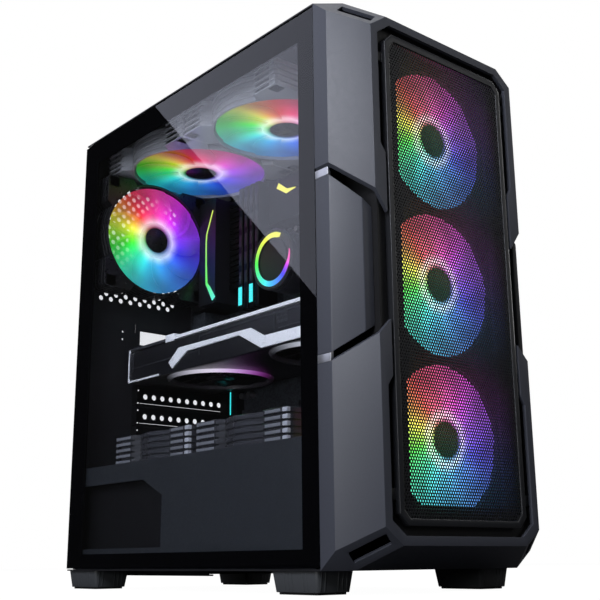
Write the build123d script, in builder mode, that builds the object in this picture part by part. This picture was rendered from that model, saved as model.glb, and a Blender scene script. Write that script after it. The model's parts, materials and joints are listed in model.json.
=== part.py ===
from build123d import *
import math
import os

# A mid-tower desktop computer. Millimetres, +Z up, the front faces -Y and the glass side faces -X.
# The origin is at the centre of the base, on the surface that the feet stand on.

# ---- driving dimensions -------------------------------------------------------------------------

HALF_WIDTH = 105.0
TOP = 444.0
FOOT_HEIGHT = 16.0
BEZEL_FRONT = -204.0
BEZEL_RIDGE = -177.8
BEZEL_BACK = -162.6
SHEET = 1.2

REAR_INNER = 193.3
REAR_OUTER = REAR_INNER + SHEET
PANEL_DEPTH = 5.5
INNER_HALF = HALF_WIDTH - PANEL_DEPTH - 0.2
PAN_TOP = FOOT_HEIGHT + SHEET
PANEL_LOW = PAN_TOP + 0.8
PANEL_HIGH = TOP - 3.0
ROOF_LOW = TOP - SHEET

FAN_DEPTH = 25.0
SMALL_FAN = 119.8
LARGE_FAN = 139.8
FRONT_FAN_Z = (109.0, 229.0, 349.0)
FRONT_FAN_FACE = -188.8
REAR_FAN_X = -31.0
REAR_FAN_Z = 349.5
TOP_FAN_X = -10.0
TOP_FAN_Y = (-18.0, 122.0)
TOP_FAN_HIGH = 438.0
SHROUD_FAN_X = -33.0
SHROUD_FAN_Y = (-57.0, 72.0)
SHROUD_TOP = 109.3
SHROUD_SIDE = -98.0

TRAY_X = 75.0
BOARD_X = 67.0
BOARD_THICK = 1.6
BOARD_REAR = 185.0
BOARD_LOW = 110.0
BOARD_SIZE = (244.0, 305.0)
SLOT_TOP_Z = 248.3
SLOT_PITCH = 20.32

BUTTON_Y = -146.0
AXLE_R = 1.5
AXLE_CLEARANCE = 0.05

os.makedirs("parts", exist_ok=True)


# ---- helpers ------------------------------------------------------------------------------------

def save(piece, name):
    """Label a finished piece and write its STEP file."""
    piece.part.label = name
    export_step(piece.part, f"parts/{name}.step")


def block(low, high, mode=Mode.ADD):
    """A rectangular block between two opposite corners."""
    centre = tuple((a + b) / 2 for a, b in zip(low, high))
    with Locations(centre):
        Box(high[0] - low[0], high[1] - low[1], high[2] - low[2], mode=mode)


def round_bar(start, direction, radius, length, mode=Mode.ADD):
    """A round bar from its start point along a direction."""
    with Locations(Plane(origin=start, z_dir=direction)):
        Cylinder(radius, length, align=(Align.CENTER, Align.CENTER, Align.MIN), mode=mode)


def wall_plane(y):
    """A plane parallel to the front, local x along +X and local y along +Z, facing -Y."""
    return Plane(origin=(0, y, 0), x_dir=(1, 0, 0), z_dir=(0, -1, 0))


def side_plane(x):
    """A plane parallel to the sides, local x along +Y and local y along +Z, facing +X."""
    return Plane(origin=(x, 0, 0), x_dir=(0, 1, 0), z_dir=(1, 0, 0))


def mirrored_outline(points):
    """An outline given for x below zero, continued by its mirror image."""
    return points + [(-x, z) for x, z in reversed(points)]


def prism(outline, y_front, y_back, mode=Mode.ADD):
    """An upright outline in X and Z, extruded between two Y positions."""
    with BuildSketch(wall_plane(y_back)) as profile:
        Polygon(*outline, align=None)
    extrude(profile.sketch, amount=y_back - y_front, mode=mode)


# ---- chassis ------------------------------------------------------------------------------------

FILTER_HALF = 66.0
FILTER_RAIL = 66.3
FILTER_Z = (12.9, 15.8)
PSU_X = (-90.0, 60.0)
PSU_Y = (33.0, REAR_INNER)
PSU_Z = (20.0, 106.0)

with BuildPart() as bottom_pan:
    block((-HALF_WIDTH, BEZEL_BACK, FOOT_HEIGHT), (HALF_WIDTH, REAR_OUTER, PAN_TOP))
    with BuildSketch(Plane.XY.offset(FOOT_HEIGHT)):
        with Locations((-15, 110)):
            with GridLocations(9, 0, 11, 1):
                SlotOverall(100, 5, rotation=90)
    extrude(amount=SHEET, mode=Mode.SUBTRACT)
    for side in (-1, 1):
        inner, outer = sorted((side * FILTER_RAIL, side * (FILTER_RAIL + SHEET)))
        block((inner, 20, FILTER_Z[0] - 1.5), (outer, REAR_INNER, FOOT_HEIGHT))
        inner, outer = sorted((side * (FILTER_RAIL - 4), side * (FILTER_RAIL + SHEET)))
        block((inner, 20, FILTER_Z[0] - 1.5), (outer, REAR_INNER, FILTER_Z[0] - 0.3))
save(bottom_pan, "bottom_pan")

VENT_PITCH_X = 11.43
VENT_PITCH_Z = 5.15
VENT_HOLE_R = 2.5
VENT_COLUMNS = 8
VENT_ROWS = 24
VENT_START = (-79.9, 284.2)
IO_OPENING = ((30.0, 254.2), (66.8, 412.9))
SLOT_COUNT = 7
SLOT_SPAN = (-33.0, 73.0)
SLOT_HEIGHT = 14.6
SLOT_EDGE = 7.0
HOOK_SLIT_X = (-39.0, -32.3)
HOOK_SLIT = 1.6
TAB_SCREW_X = 95.0
TAB_SCREW_Z = (60.0, 400.0)
TAB_HOLE_R = 2.0
FAN_SCREW_HALF = 52.5
LATCH_SLIT = ((-38.9, 253.0), (-38.1, 262.5))
LATCH_HOLES = [(-53.5, 252.4), (-53.5, 244.5)]
LATCH_HOLE_R = 1.1


def slot_centre(number):
    """Height of an expansion slot's centre, counted from 0 at the top."""
    return SLOT_TOP_Z - SLOT_PITCH * number


def cut_window(low, high):
    """Remove a rectangle between two corners from the sketch being drawn."""
    with Locations(((low[0] + high[0]) / 2, (low[1] + high[1]) / 2)):
        Rectangle(high[0] - low[0], high[1] - low[1], mode=Mode.SUBTRACT)


vent_holes = []
for row in range(VENT_ROWS):
    for column in range(VENT_COLUMNS):
        stagger = VENT_PITCH_X / 2 if row % 2 else 0.0
        hole_x = VENT_START[0] + column * VENT_PITCH_X + stagger
        hole_z = VENT_START[1] + row * VENT_PITCH_Z
        near_fan_screw = any(
            math.hypot(hole_x - REAR_FAN_X - sx, hole_z - REAR_FAN_Z - sz) < 6
            for sx in (-FAN_SCREW_HALF, FAN_SCREW_HALF) for sz in (-FAN_SCREW_HALF, FAN_SCREW_HALF))
        if not near_fan_screw:
            vent_holes.append((hole_x, hole_z))

with BuildPart() as rear_panel:
    with BuildSketch(wall_plane(REAR_OUTER)):
        with Locations((0, (PAN_TOP + ROOF_LOW) / 2)):
            Rectangle(2 * INNER_HALF, ROOF_LOW - PAN_TOP - 0.2)
        cut_window(*IO_OPENING)
        cut_window((PSU_X[0] + 4, PSU_Z[0] + 3), (PSU_X[1] - 4, PSU_Z[1] - 3))
        for number in range(SLOT_COUNT):
            centre_z = slot_centre(number)
            cut_window((SLOT_SPAN[0], centre_z - SLOT_HEIGHT / 2),
                       (SLOT_SPAN[1], centre_z + SLOT_HEIGHT / 2))
        for number in range(3, SLOT_COUNT):
            for edge_z in (slot_centre(number) - SLOT_EDGE, slot_centre(number) + SLOT_EDGE - 1):
                cut_window((HOOK_SLIT_X[0], edge_z - HOOK_SLIT / 2),
                           (HOOK_SLIT_X[1], edge_z + HOOK_SLIT / 2))
        cut_window(*LATCH_SLIT)
        with Locations(*LATCH_HOLES):
            Circle(LATCH_HOLE_R, mode=Mode.SUBTRACT)
        with Locations(*vent_holes):
            Circle(VENT_HOLE_R, mode=Mode.SUBTRACT)
        with Locations((REAR_FAN_X, REAR_FAN_Z)):
            with GridLocations(2 * FAN_SCREW_HALF, 2 * FAN_SCREW_HALF, 2, 2):
                Circle(2.2, mode=Mode.SUBTRACT)
        with Locations(*[(side * TAB_SCREW_X, z) for side in (-1, 1) for z in TAB_SCREW_Z]):
            Circle(TAB_HOLE_R, mode=Mode.SUBTRACT)
    extrude(amount=SHEET)
save(rear_panel, "rear_panel")

ROOF_WELL_X = (-86.0, 86.0)
ROOF_WELL_Y = (-116.0, 188.0)
ROOF_WELL_Z = (TOP_FAN_HIGH, TOP_FAN_HIGH + SHEET)
TOP_FAN_SCREW_HALF = 62.25
TOP_FAN_OPENING_R = 64.0
BUTTONS = {"power_button": (-40.0, 7.0), "reset_button": (-18.0, 4.0), "light_button": (-2.0, 4.0)}
USB_X = (20.0, 42.0)
AUDIO_X = (56.0, 67.0)

with BuildPart() as top_frame:
    block((-HALF_WIDTH, BEZEL_BACK, ROOF_LOW), (HALF_WIDTH, REAR_OUTER, TOP))
    block((ROOF_WELL_X[0], ROOF_WELL_Y[0], ROOF_LOW), (ROOF_WELL_X[1], ROOF_WELL_Y[1], TOP),
          mode=Mode.SUBTRACT)
    block((ROOF_WELL_X[0] - SHEET, ROOF_WELL_Y[0] - SHEET, ROOF_WELL_Z[0]),
          (ROOF_WELL_X[1] + SHEET, ROOF_WELL_Y[1] + SHEET, ROOF_LOW))
    block((ROOF_WELL_X[0], ROOF_WELL_Y[0], ROOF_WELL_Z[1]), (ROOF_WELL_X[1], ROOF_WELL_Y[1], ROOF_LOW),
          mode=Mode.SUBTRACT)
    for centre_y in TOP_FAN_Y:
        round_bar((TOP_FAN_X, centre_y, ROOF_WELL_Z[0]), (0, 0, 1), TOP_FAN_OPENING_R, SHEET,
                  mode=Mode.SUBTRACT)
        with Locations((TOP_FAN_X, centre_y, ROOF_WELL_Z[0])):
            with GridLocations(2 * TOP_FAN_SCREW_HALF, 2 * TOP_FAN_SCREW_HALF, 2, 2):
                Cylinder(2.2, 4 * SHEET, mode=Mode.SUBTRACT)
    for button_x, button_r in BUTTONS.values():
        round_bar((button_x, BUTTON_Y, ROOF_LOW), (0, 0, 1), button_r + 0.4, SHEET, mode=Mode.SUBTRACT)
    for port_x in USB_X:
        block((port_x - 7, BUTTON_Y - 3.2, ROOF_LOW), (port_x + 7, BUTTON_Y + 3.2, TOP), mode=Mode.SUBTRACT)
    for port_x in AUDIO_X:
        round_bar((port_x, BUTTON_Y, ROOF_LOW), (0, 0, 1), 3.4, SHEET, mode=Mode.SUBTRACT)
save(top_frame, "top_frame")

FRONT_WALL_HALF = HALF_WIDTH - 3.5
FRONT_WALL_Z = (20.0, 440.0)
FRONT_FAN_OPENING_R = 57.0
FAN_SCREW_HOLE_R = 2.2
FLANGE_LIFT = 6.8
TRAY_TOP = 436.0
SNAP_PINS = [(side * 88.0, z) for side in (-1, 1) for z in (45.0, 230.0, 415.0)]
SNAP_PIN_R = 3.0

with BuildPart() as front_wall:
    with BuildSketch(wall_plane(BEZEL_BACK)):
        with Locations((0, sum(FRONT_WALL_Z) / 2)):
            Rectangle(2 * FRONT_WALL_HALF, FRONT_WALL_Z[1] - FRONT_WALL_Z[0])
        with Locations(*[(0, z) for z in FRONT_FAN_Z]):
            Circle(FRONT_FAN_OPENING_R, mode=Mode.SUBTRACT)
            with GridLocations(2 * FAN_SCREW_HALF, 2 * FAN_SCREW_HALF, 2, 2):
                Circle(FAN_SCREW_HOLE_R, mode=Mode.SUBTRACT)
        with Locations(*SNAP_PINS):
            Circle(SNAP_PIN_R + 0.3, mode=Mode.SUBTRACT)
    extrude(amount=SHEET)
    for riser_z, flange_z in ((PAN_TOP, PAN_TOP), (TRAY_TOP, ROOF_LOW - SHEET)):
        block((-INNER_HALF + 1, BEZEL_BACK, riser_z),
              (INNER_HALF - 1, BEZEL_BACK + SHEET, riser_z + FLANGE_LIFT))
        block((-INNER_HALF + 1, BEZEL_BACK, flange_z), (INNER_HALF - 1, BEZEL_BACK + 3, flange_z + SHEET))
save(front_wall, "front_wall")

TRAY_FRONT = BEZEL_BACK + 12
TRAY_FLANGE = 13.0
CABLE_HOLE = (62.0, 26.0)
CABLE_HOLE_Y = -80.0
CABLE_HOLE_Z = (175.0, 262.0, 350.0)
POWER_HOLE = (50.0, 12.0)
POWER_HOLE_Z = 426.0
POWER_HOLE_Y = (70.0, -20.0)
COOLER_WINDOW = (110.0, 90.0)
COOLER_WINDOW_CENTRE = (60.0, 330.0)
STANDOFF_R = 3.0
STANDOFF_Y = (-52.0, 28.0, 178.0)
STANDOFF_Z = (116.5, 245.0, 408.5)

with BuildPart() as motherboard_tray:
    with BuildSketch(side_plane(TRAY_X)):
        with Locations(((TRAY_FRONT + REAR_INNER) / 2, (PAN_TOP + TRAY_TOP) / 2)):
            Rectangle(REAR_INNER - TRAY_FRONT, TRAY_TOP - PAN_TOP)
        with Locations(*[(CABLE_HOLE_Y, z) for z in CABLE_HOLE_Z]):
            SlotOverall(*CABLE_HOLE, rotation=90, mode=Mode.SUBTRACT)
        with Locations(*[(y, POWER_HOLE_Z) for y in POWER_HOLE_Y]):
            SlotOverall(*POWER_HOLE, mode=Mode.SUBTRACT)
        with Locations(COOLER_WINDOW_CENTRE):
            Rectangle(*COOLER_WINDOW, mode=Mode.SUBTRACT)
    extrude(amount=SHEET)
    block((TRAY_X, REAR_INNER - SHEET, PAN_TOP), (TRAY_X + TRAY_FLANGE, REAR_INNER, TRAY_TOP))
    for standoff_y in STANDOFF_Y:
        for standoff_z in STANDOFF_Z:
            round_bar((BOARD_X + BOARD_THICK, standoff_y, standoff_z), (1, 0, 0), STANDOFF_R,
                      TRAY_X - BOARD_X - BOARD_THICK)
save(motherboard_tray, "motherboard_tray")

SHROUD_FRONT = BEZEL_BACK + 12
SHROUD_WINDOW = [(43, 78), (74, 92.5), (190, 92.5), (190, 35), (43, 35)]

with BuildPart() as psu_shroud:
    block((SHROUD_SIDE, SHROUD_FRONT, SHROUD_TOP - SHEET), (TRAY_X - 0.1, REAR_INNER, SHROUD_TOP))
    block((SHROUD_SIDE, SHROUD_FRONT, PAN_TOP), (SHROUD_SIDE + SHEET, REAR_INNER, SHROUD_TOP))
    with BuildSketch(side_plane(SHROUD_SIDE)):
        Polygon(*SHROUD_WINDOW, align=None)
    extrude(amount=SHEET, mode=Mode.SUBTRACT)
    with BuildSketch(Plane.XY.offset(SHROUD_TOP - SHEET)):
        for fan_y in SHROUD_FAN_Y:
            with Locations((SHROUD_FAN_X, fan_y)):
                with GridLocations(0, 9, 1, 11):
                    SlotOverall(80, 5)
    extrude(amount=SHEET, mode=Mode.SUBTRACT)
save(psu_shroud, "psu_shroud")

COVER_LEFT = -40.0
COVER_RIGHT = 74.5
COVER_HOLES = 10
COVER_HOLE_X = -24.8
COVER_HOLE_PITCH = 10.3
COVER_SLIT_X = (-31.5, 71.5)
COVER_SLIT = 0.5

with BuildPart() as slot_covers:
    for number in range(3, SLOT_COUNT):
        centre_z = slot_centre(number)
        block((COVER_LEFT, REAR_INNER - 1, centre_z - 9), (COVER_RIGHT, REAR_INNER, centre_z + 9))
        block((COVER_LEFT, REAR_INNER - 9, centre_z - 9), (COVER_LEFT + 1, REAR_INNER - 1, centre_z + 9))
        for edge_z in (centre_z - SLOT_EDGE, centre_z + SLOT_EDGE - 1):
            block((HOOK_SLIT_X[0], REAR_INNER - 1, edge_z - HOOK_SLIT / 2),
                  (HOOK_SLIT_X[1], REAR_INNER, edge_z + HOOK_SLIT / 2), mode=Mode.SUBTRACT)
        block((COVER_SLIT_X[0], REAR_INNER - 1, centre_z - SLOT_EDGE - COVER_SLIT / 2),
              (COVER_SLIT_X[1], REAR_INNER, centre_z - SLOT_EDGE + COVER_SLIT / 2), mode=Mode.SUBTRACT)
        for hole in range(COVER_HOLES):
            round_bar((COVER_HOLE_X + hole * COVER_HOLE_PITCH, REAR_INNER - 1, centre_z), (0, 1, 0), 2.7, 1,
                      mode=Mode.SUBTRACT)
save(slot_covers, "slot_covers")

FOOT_CENTRES = [(side * 85.5, y) for side in (-1, 1) for y in (-132.0, 170.0)]
FOOT_SIZE = (31.0, 46.0)
FOOT_TAPER = 4.0
FOOT_PAD = 1.5

with BuildPart() as feet:
    for foot_x, foot_y in FOOT_CENTRES:
        with BuildSketch(Plane.XY.offset(FOOT_PAD)):
            with Locations((foot_x, foot_y)):
                RectangleRounded(*FOOT_SIZE, 3)
        with BuildSketch(Plane.XY.offset(FOOT_HEIGHT)):
            with Locations((foot_x, foot_y)):
                RectangleRounded(FOOT_SIZE[0] + FOOT_TAPER, FOOT_SIZE[1] + FOOT_TAPER, 3)
        loft()
save(feet, "feet")

with BuildPart() as foot_pads:
    with BuildSketch():
        with Locations(*FOOT_CENTRES):
            RectangleRounded(FOOT_SIZE[0] - 3, FOOT_SIZE[1] - 3, 3)
    extrude(amount=FOOT_PAD)
save(foot_pads, "foot_pads")

# ---- side panels and filters --------------------------------------------------------------------

GLASS = 4.0
WINDOW_Y = (-142.0, 173.0)
WINDOW_Z = (30.5, 419.5)
PANEL_FRONT = BEZEL_BACK + 0.3
PANEL_REAR = 196.1
TAB_WIDTH = 17.0
PANEL_RIM = 12.0
SCREW_HEAD_R = 6.0
SCREW_REAR = 204.0


def window_frame(x_low, x_high):
    """A flat frame parallel to the sides, round the window."""
    block((x_low, PANEL_FRONT, PANEL_LOW), (x_high, PANEL_REAR, PANEL_HIGH))
    block((x_low, WINDOW_Y[0], WINDOW_Z[0]), (x_high, WINDOW_Y[1], WINDOW_Z[1]), mode=Mode.SUBTRACT)


def rear_tabs(side, y_low, y_high):
    """The tabs of a side panel that lap over the rear panel, with a hole for each screw."""
    for screw_z in TAB_SCREW_Z:
        near, far = sorted((side * (HALF_WIDTH - PANEL_DEPTH), side * (HALF_WIDTH - TAB_WIDTH)))
        block((near, y_low, screw_z - 14), (far, y_high, screw_z + 14))
        round_bar((side * TAB_SCREW_X, y_low, screw_z), (0, 1, 0), TAB_HOLE_R, y_high - y_low,
                  mode=Mode.SUBTRACT)


def thumbscrews(side):
    """Two knurled thumbscrews with their shanks through the tab and the rear panel."""
    for screw_z in TAB_SCREW_Z:
        centre_x = side * TAB_SCREW_X
        with BuildSketch(wall_plane(SCREW_REAR)) as head:
            with Locations((centre_x, screw_z)):
                Circle(SCREW_HEAD_R)
                with PolarLocations(SCREW_HEAD_R, 16):
                    Circle(0.5, mode=Mode.SUBTRACT)
        extrude(head.sketch, amount=SCREW_REAR - PANEL_REAR)
        round_bar((centre_x, REAR_INNER - 4, screw_z), (0, 1, 0), 1.7, PANEL_REAR - REAR_INNER + 4)


with BuildPart() as glass_panel:
    block((-HALF_WIDTH, PANEL_FRONT, PANEL_LOW), (-HALF_WIDTH + GLASS, PANEL_REAR, PANEL_HIGH))
save(glass_panel, "glass_panel")

with BuildPart() as glass_panel_frame:
    window_frame(-HALF_WIDTH + GLASS, -HALF_WIDTH + PANEL_DEPTH)
    rear_tabs(-1, REAR_OUTER + 0.1, PANEL_REAR)
save(glass_panel_frame, "glass_panel_frame")

with BuildPart() as glass_thumbscrews:
    thumbscrews(-1)
save(glass_thumbscrews, "glass_thumbscrews")

with BuildPart() as right_side_panel:
    block((HALF_WIDTH - PANEL_DEPTH, PANEL_FRONT, PANEL_LOW), (HALF_WIDTH, PANEL_REAR, PANEL_HIGH))
    block((HALF_WIDTH - PANEL_DEPTH, PANEL_FRONT + PANEL_RIM, PANEL_LOW + PANEL_RIM),
          (HALF_WIDTH - SHEET, PANEL_REAR - PANEL_RIM, PANEL_HIGH - PANEL_RIM), mode=Mode.SUBTRACT)
    rear_tabs(1, REAR_OUTER + 0.1, PANEL_REAR)
save(right_side_panel, "right_side_panel")

with BuildPart() as right_thumbscrews:
    thumbscrews(1)
save(right_thumbscrews, "right_thumbscrews")

TOP_FILTER_GAP = 0.5
TOP_FILTER_LOW = ROOF_WELL_Z[1]
TOP_FILTER_HIGH = TOP - 0.4
TOP_WINDOW_HALF = (76.0, 66.0)
TOP_WINDOW_Y = (-40.0, 112.0)
TOP_WINDOW_RECESS = 1.0
TOP_WINDOW_WEB = 2.0

with BuildPart() as top_filter:
    block((ROOF_WELL_X[0] + TOP_FILTER_GAP, ROOF_WELL_Y[0] + TOP_FILTER_GAP, TOP_FILTER_LOW),
          (ROOF_WELL_X[1] - TOP_FILTER_GAP, ROOF_WELL_Y[1] - TOP_FILTER_GAP, TOP_FILTER_HIGH))
    for centre_y in TOP_WINDOW_Y:
        for low_z, high_z in ((TOP_FILTER_HIGH - TOP_WINDOW_RECESS, TOP_FILTER_HIGH),
                              (TOP_FILTER_LOW, TOP_FILTER_HIGH - TOP_WINDOW_WEB)):
            block((-TOP_WINDOW_HALF[0], centre_y - TOP_WINDOW_HALF[1], low_z),
                  (TOP_WINDOW_HALF[0], centre_y + TOP_WINDOW_HALF[1], high_z), mode=Mode.SUBTRACT)
save(top_filter, "top_filter")

with BuildPart() as psu_filter:
    block((-FILTER_HALF, 21, FILTER_Z[0]), (FILTER_HALF, REAR_OUTER, FILTER_Z[1]))
    block((-FILTER_HALF + 6, 27, FILTER_Z[0]), (FILTER_HALF - 6, REAR_OUTER - 8, FILTER_Z[1] - 1),
          mode=Mode.SUBTRACT)
    block((-18, REAR_OUTER, FILTER_Z[0]), (18, REAR_OUTER + 7, FILTER_Z[1]))
save(psu_filter, "psu_filter")

# ---- front bezel --------------------------------------------------------------------------------

BEZEL_WALL = 3.0
FRONT_HALF = 83.4
FRONT_LOW = 32.0
FRONT_HIGH = 428.0
RIDGE_CUT_X = 18.0
RIDGE_CUT_Z = 13.0
BEZEL_MIDDLE = Vector(0, -170, 230)


def facet_plane(a, b, c, inset):
    """The plane through three points, facing away from the bezel's middle and moved inwards."""
    a, b, c = Vector(*a), Vector(*b), Vector(*c)
    normal = (b - a).cross(c - a)
    if normal.dot(a - BEZEL_MIDDLE) < 0:
        normal = normal * -1
    return Plane(origin=a, x_dir=b - a, z_dir=normal).offset(-inset)


def bezel_facets(inset):
    """Every slanted face of the bezel's outer form."""
    facets = []
    for side in (-1, 1):
        ridge_x = side * HALF_WIDTH
        front_x = side * FRONT_HALF
        facets.append(facet_plane((ridge_x, BEZEL_RIDGE, 0), (ridge_x, BEZEL_RIDGE, 100),
                                  (front_x, BEZEL_FRONT, 0), inset))
        for z_edge, z_front, away in ((TOP, FRONT_HIGH, 1), (FOOT_HEIGHT, FRONT_LOW, -1)):
            ridge_top = (ridge_x - side * RIDGE_CUT_X, BEZEL_RIDGE, z_edge)
            ridge_side = (ridge_x, BEZEL_RIDGE, z_edge - away * RIDGE_CUT_Z)
            front_top = (front_x - side * 17.0, BEZEL_FRONT, z_front)
            facets.append(facet_plane(ridge_top, ridge_side, front_top, inset))
            facets.append(facet_plane(ridge_top, ridge_side, (ridge_x, BEZEL_BACK, z_edge), inset))
    for z_edge, z_front in ((TOP, FRONT_HIGH), (FOOT_HEIGHT, FRONT_LOW)):
        facets.append(facet_plane((-50, BEZEL_RIDGE, z_edge), (50, BEZEL_RIDGE, z_edge),
                                  (0, BEZEL_FRONT, z_front), inset))
    return facets


def bezel_form(inset):
    """The bezel's faceted form as a solid block, shrunk by an inset."""
    with BuildPart() as form:
        block((-HALF_WIDTH + inset, BEZEL_FRONT + inset, FOOT_HEIGHT + inset),
              (HALF_WIDTH - inset, BEZEL_BACK, TOP - inset))
        for plane in bezel_facets(inset):
            split(bisect_by=plane, keep=Keep.BOTTOM)
    return form.part


def bezel_shell(keep_outline):
    """The hollow bezel form, kept only inside an outline seen from the front."""
    add(bezel_form(0))
    add(bezel_form(BEZEL_WALL), mode=Mode.SUBTRACT)
    prism(keep_outline, BEZEL_FRONT - 1, BEZEL_BACK + 1, mode=Mode.INTERSECT)


CORNER_SLOT = (28.5, 9.6)


def corner_slots(z_ridge, z_front):
    """A long slot through each of two corner facets, running from the ridge towards the front."""
    for side in (-1, 1):
        outer = Vector(side * 93.5, BEZEL_RIDGE - 2.5, z_ridge)
        inner = Vector(side * 77.0, BEZEL_FRONT + 3.5, z_front)
        along = (inner - outer).normalized()
        across = Vector(side * RIDGE_CUT_X, 0, math.copysign(RIDGE_CUT_Z, 230 - z_ridge)).normalized()
        middle = (inner + outer) * 0.5
        with BuildSketch(Plane(origin=middle, x_dir=along, z_dir=along.cross(across))) as slot:
            RectangleRounded(*CORNER_SLOT, 1)
        extrude(slot.sketch, amount=6, both=True, mode=Mode.SUBTRACT)


UPPER_OUTLINE = mirrored_outline([
    (-110, 450), (-110, 306), (-105, 306), (-FRONT_HALF, 283.6), (-71.5, 268), (-71.5, 314), (-76.5, 321),
    (-76.5, 411.5), (-63.5, 421.5)])
LOWER_OUTLINE = mirrored_outline([
    (-110, 10), (-110, 157.5), (-105, 157.5), (-FRONT_HALF, 176), (-71.5, 187.5), (-71.5, 147), (-76.5, 140),
    (-76.5, 48.5), (-63.5, 38.5)])

with BuildPart() as bezel_upper_bracket:
    bezel_shell(UPPER_OUTLINE)
    corner_slots(435.5, 423.0)
save(bezel_upper_bracket, "bezel_upper_bracket")

with BuildPart() as bezel_lower_bracket:
    bezel_shell(LOWER_OUTLINE)
    corner_slots(24.5, 37.0)
save(bezel_lower_bracket, "bezel_lower_bracket")

CORE_HALF = 79.5
CORE_LOW = 36.0
CORE_HIGH = 424.0
CORE_FRONT = -198.0
CORE_CORNER = 12.0
CORE_OPENING_HALF = 52.0
CORE_OPENING = (60.0, 412.0)
MID_FRONT = -196.0
MID_SHOULDER = 89.0
MID_TOP = [(-110, 297), (-105, 297), (-MID_SHOULDER, 277), (-78, 270.5)]
MID_BOTTOM = [(-78, 184), (-MID_SHOULDER, 177.5), (-105, 163.5), (-110, 163.5)]


def mid_section(side):
    """One recessed side section of the bezel, between the two brackets."""
    corners = [(HALF_WIDTH, BEZEL_BACK), (HALF_WIDTH, BEZEL_RIDGE), (MID_SHOULDER, MID_FRONT),
               (CORE_HALF, MID_FRONT),
               (CORE_HALF, MID_FRONT + BEZEL_WALL), (MID_SHOULDER - 1.6, MID_FRONT + BEZEL_WALL),
               (HALF_WIDTH - BEZEL_WALL, BEZEL_RIDGE + 1.2), (HALF_WIDTH - BEZEL_WALL, BEZEL_BACK)]
    with BuildSketch(Plane.XY.offset(MID_BOTTOM[-1][1])) as section:
        Polygon(*[(side * x, y) for x, y in corners], align=None)
    extrude(section.sketch, amount=MID_TOP[0][1] - MID_BOTTOM[-1][1])
    prism([(-side * x, z) for x, z in MID_TOP + MID_BOTTOM], BEZEL_FRONT, BEZEL_BACK + 1,
          mode=Mode.INTERSECT)


def chamfered_outline(half, low, high, cut):
    """A rectangle centred on x = 0 with its corners cut off."""
    return mirrored_outline([(-half + cut, low), (-half, low + cut), (-half, high - cut),
                             (-half + cut, high)])


with BuildPart() as bezel_core:
    prism(chamfered_outline(CORE_HALF, CORE_LOW, CORE_HIGH, CORE_CORNER), CORE_FRONT - 3, BEZEL_BACK - SHEET)
    prism(chamfered_outline(CORE_HALF - 2, CORE_LOW + 2, CORE_HIGH - 2, CORE_CORNER), CORE_FRONT - 3,
          CORE_FRONT,
          mode=Mode.SUBTRACT)
    prism(chamfered_outline(CORE_HALF - 2.5, CORE_LOW + 2.5, CORE_HIGH - 2.5, CORE_CORNER), CORE_FRONT + 2.5,
          BEZEL_BACK, mode=Mode.SUBTRACT)
    prism(chamfered_outline(CORE_OPENING_HALF, *CORE_OPENING, 4), CORE_FRONT, CORE_FRONT + 2.5,
          mode=Mode.SUBTRACT)
    for pin_x, pin_z in SNAP_PINS:
        edge = math.copysign(CORE_HALF - 2, pin_x)
        far = pin_x + math.copysign(5, pin_x)
        low_x, high_x = sorted((edge, far))
        block((low_x, BEZEL_BACK - SHEET - 4, pin_z - 5), (high_x, BEZEL_BACK - SHEET, pin_z + 5))
        round_bar((pin_x, BEZEL_BACK - SHEET, pin_z), (0, 1, 0), SNAP_PIN_R, 6)
save(bezel_core, "bezel_core")

with BuildPart() as bezel_mid_left:
    mid_section(-1)
save(bezel_mid_left, "bezel_mid_left")

with BuildPart() as bezel_mid_right:
    mid_section(1)
save(bezel_mid_right, "bezel_mid_right")

ACCENT_OUTLINES = (
    [(HALF_WIDTH, 157.6), (HALF_WIDTH, 163.4), (HALF_WIDTH - BEZEL_WALL, 166.0),
     (HALF_WIDTH - BEZEL_WALL, 160.3)],
    [(HALF_WIDTH, 297.1), (HALF_WIDTH, 303.2), (HALF_WIDTH - BEZEL_WALL, 299.9),
     (HALF_WIDTH - BEZEL_WALL, 293.4)])

with BuildPart() as accent_strips:
    for side in (-1, 1):
        for accent_outline in ACCENT_OUTLINES:
            prism([(side * x, z) for x, z in accent_outline], BEZEL_RIDGE + 1.2, BEZEL_BACK)
save(accent_strips, "accent_strips")

MESH_OUTER_HALF = 68.7
MESH_OUTER_Z = (45.0, 415.0)
MESH_HALF = 64.0
MESH_Z = (50.0, 409.0)
BRIDGE_Z = (66.0, 394.0)

with BuildPart() as mesh_frame:
    prism(chamfered_outline(MESH_OUTER_HALF, *MESH_OUTER_Z, 8), BEZEL_FRONT, CORE_FRONT)
    prism(chamfered_outline(MESH_HALF, *MESH_Z, 5.5), BEZEL_FRONT, CORE_FRONT, mode=Mode.SUBTRACT)
    for side in (-1, 1):
        for bridge_z in BRIDGE_Z:
            near, far = sorted((side * MESH_OUTER_HALF, side * (CORE_HALF - 2)))
            block((near, CORE_FRONT - 2.5, bridge_z - 4), (far, CORE_FRONT, bridge_z + 4))
save(mesh_frame, "mesh_frame")

with BuildPart() as front_mesh:
    prism(chamfered_outline(MESH_HALF, *MESH_Z, 5.5), BEZEL_FRONT + 0.8, BEZEL_FRONT + 1.6)
save(front_mesh, "front_mesh")

# ---- top controls -------------------------------------------------------------------------------

BOARD_DECK = 431.0
BUTTON_STEM = 4.0

for button_name, (button_x, button_r) in BUTTONS.items():
    with BuildPart() as button:
        round_bar((button_x, BUTTON_Y, BOARD_DECK + BUTTON_STEM), (0, 0, 1), button_r,
                  TOP - 0.2 - BOARD_DECK - BUTTON_STEM)
        round_bar((button_x, BUTTON_Y, BOARD_DECK + BUTTON_STEM), (0, 0, 1), button_r + 1.5, 1.5)
        chamfer(button.edges().group_by(Axis.Z)[-1], 0.5)
    save(button, button_name)

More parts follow.
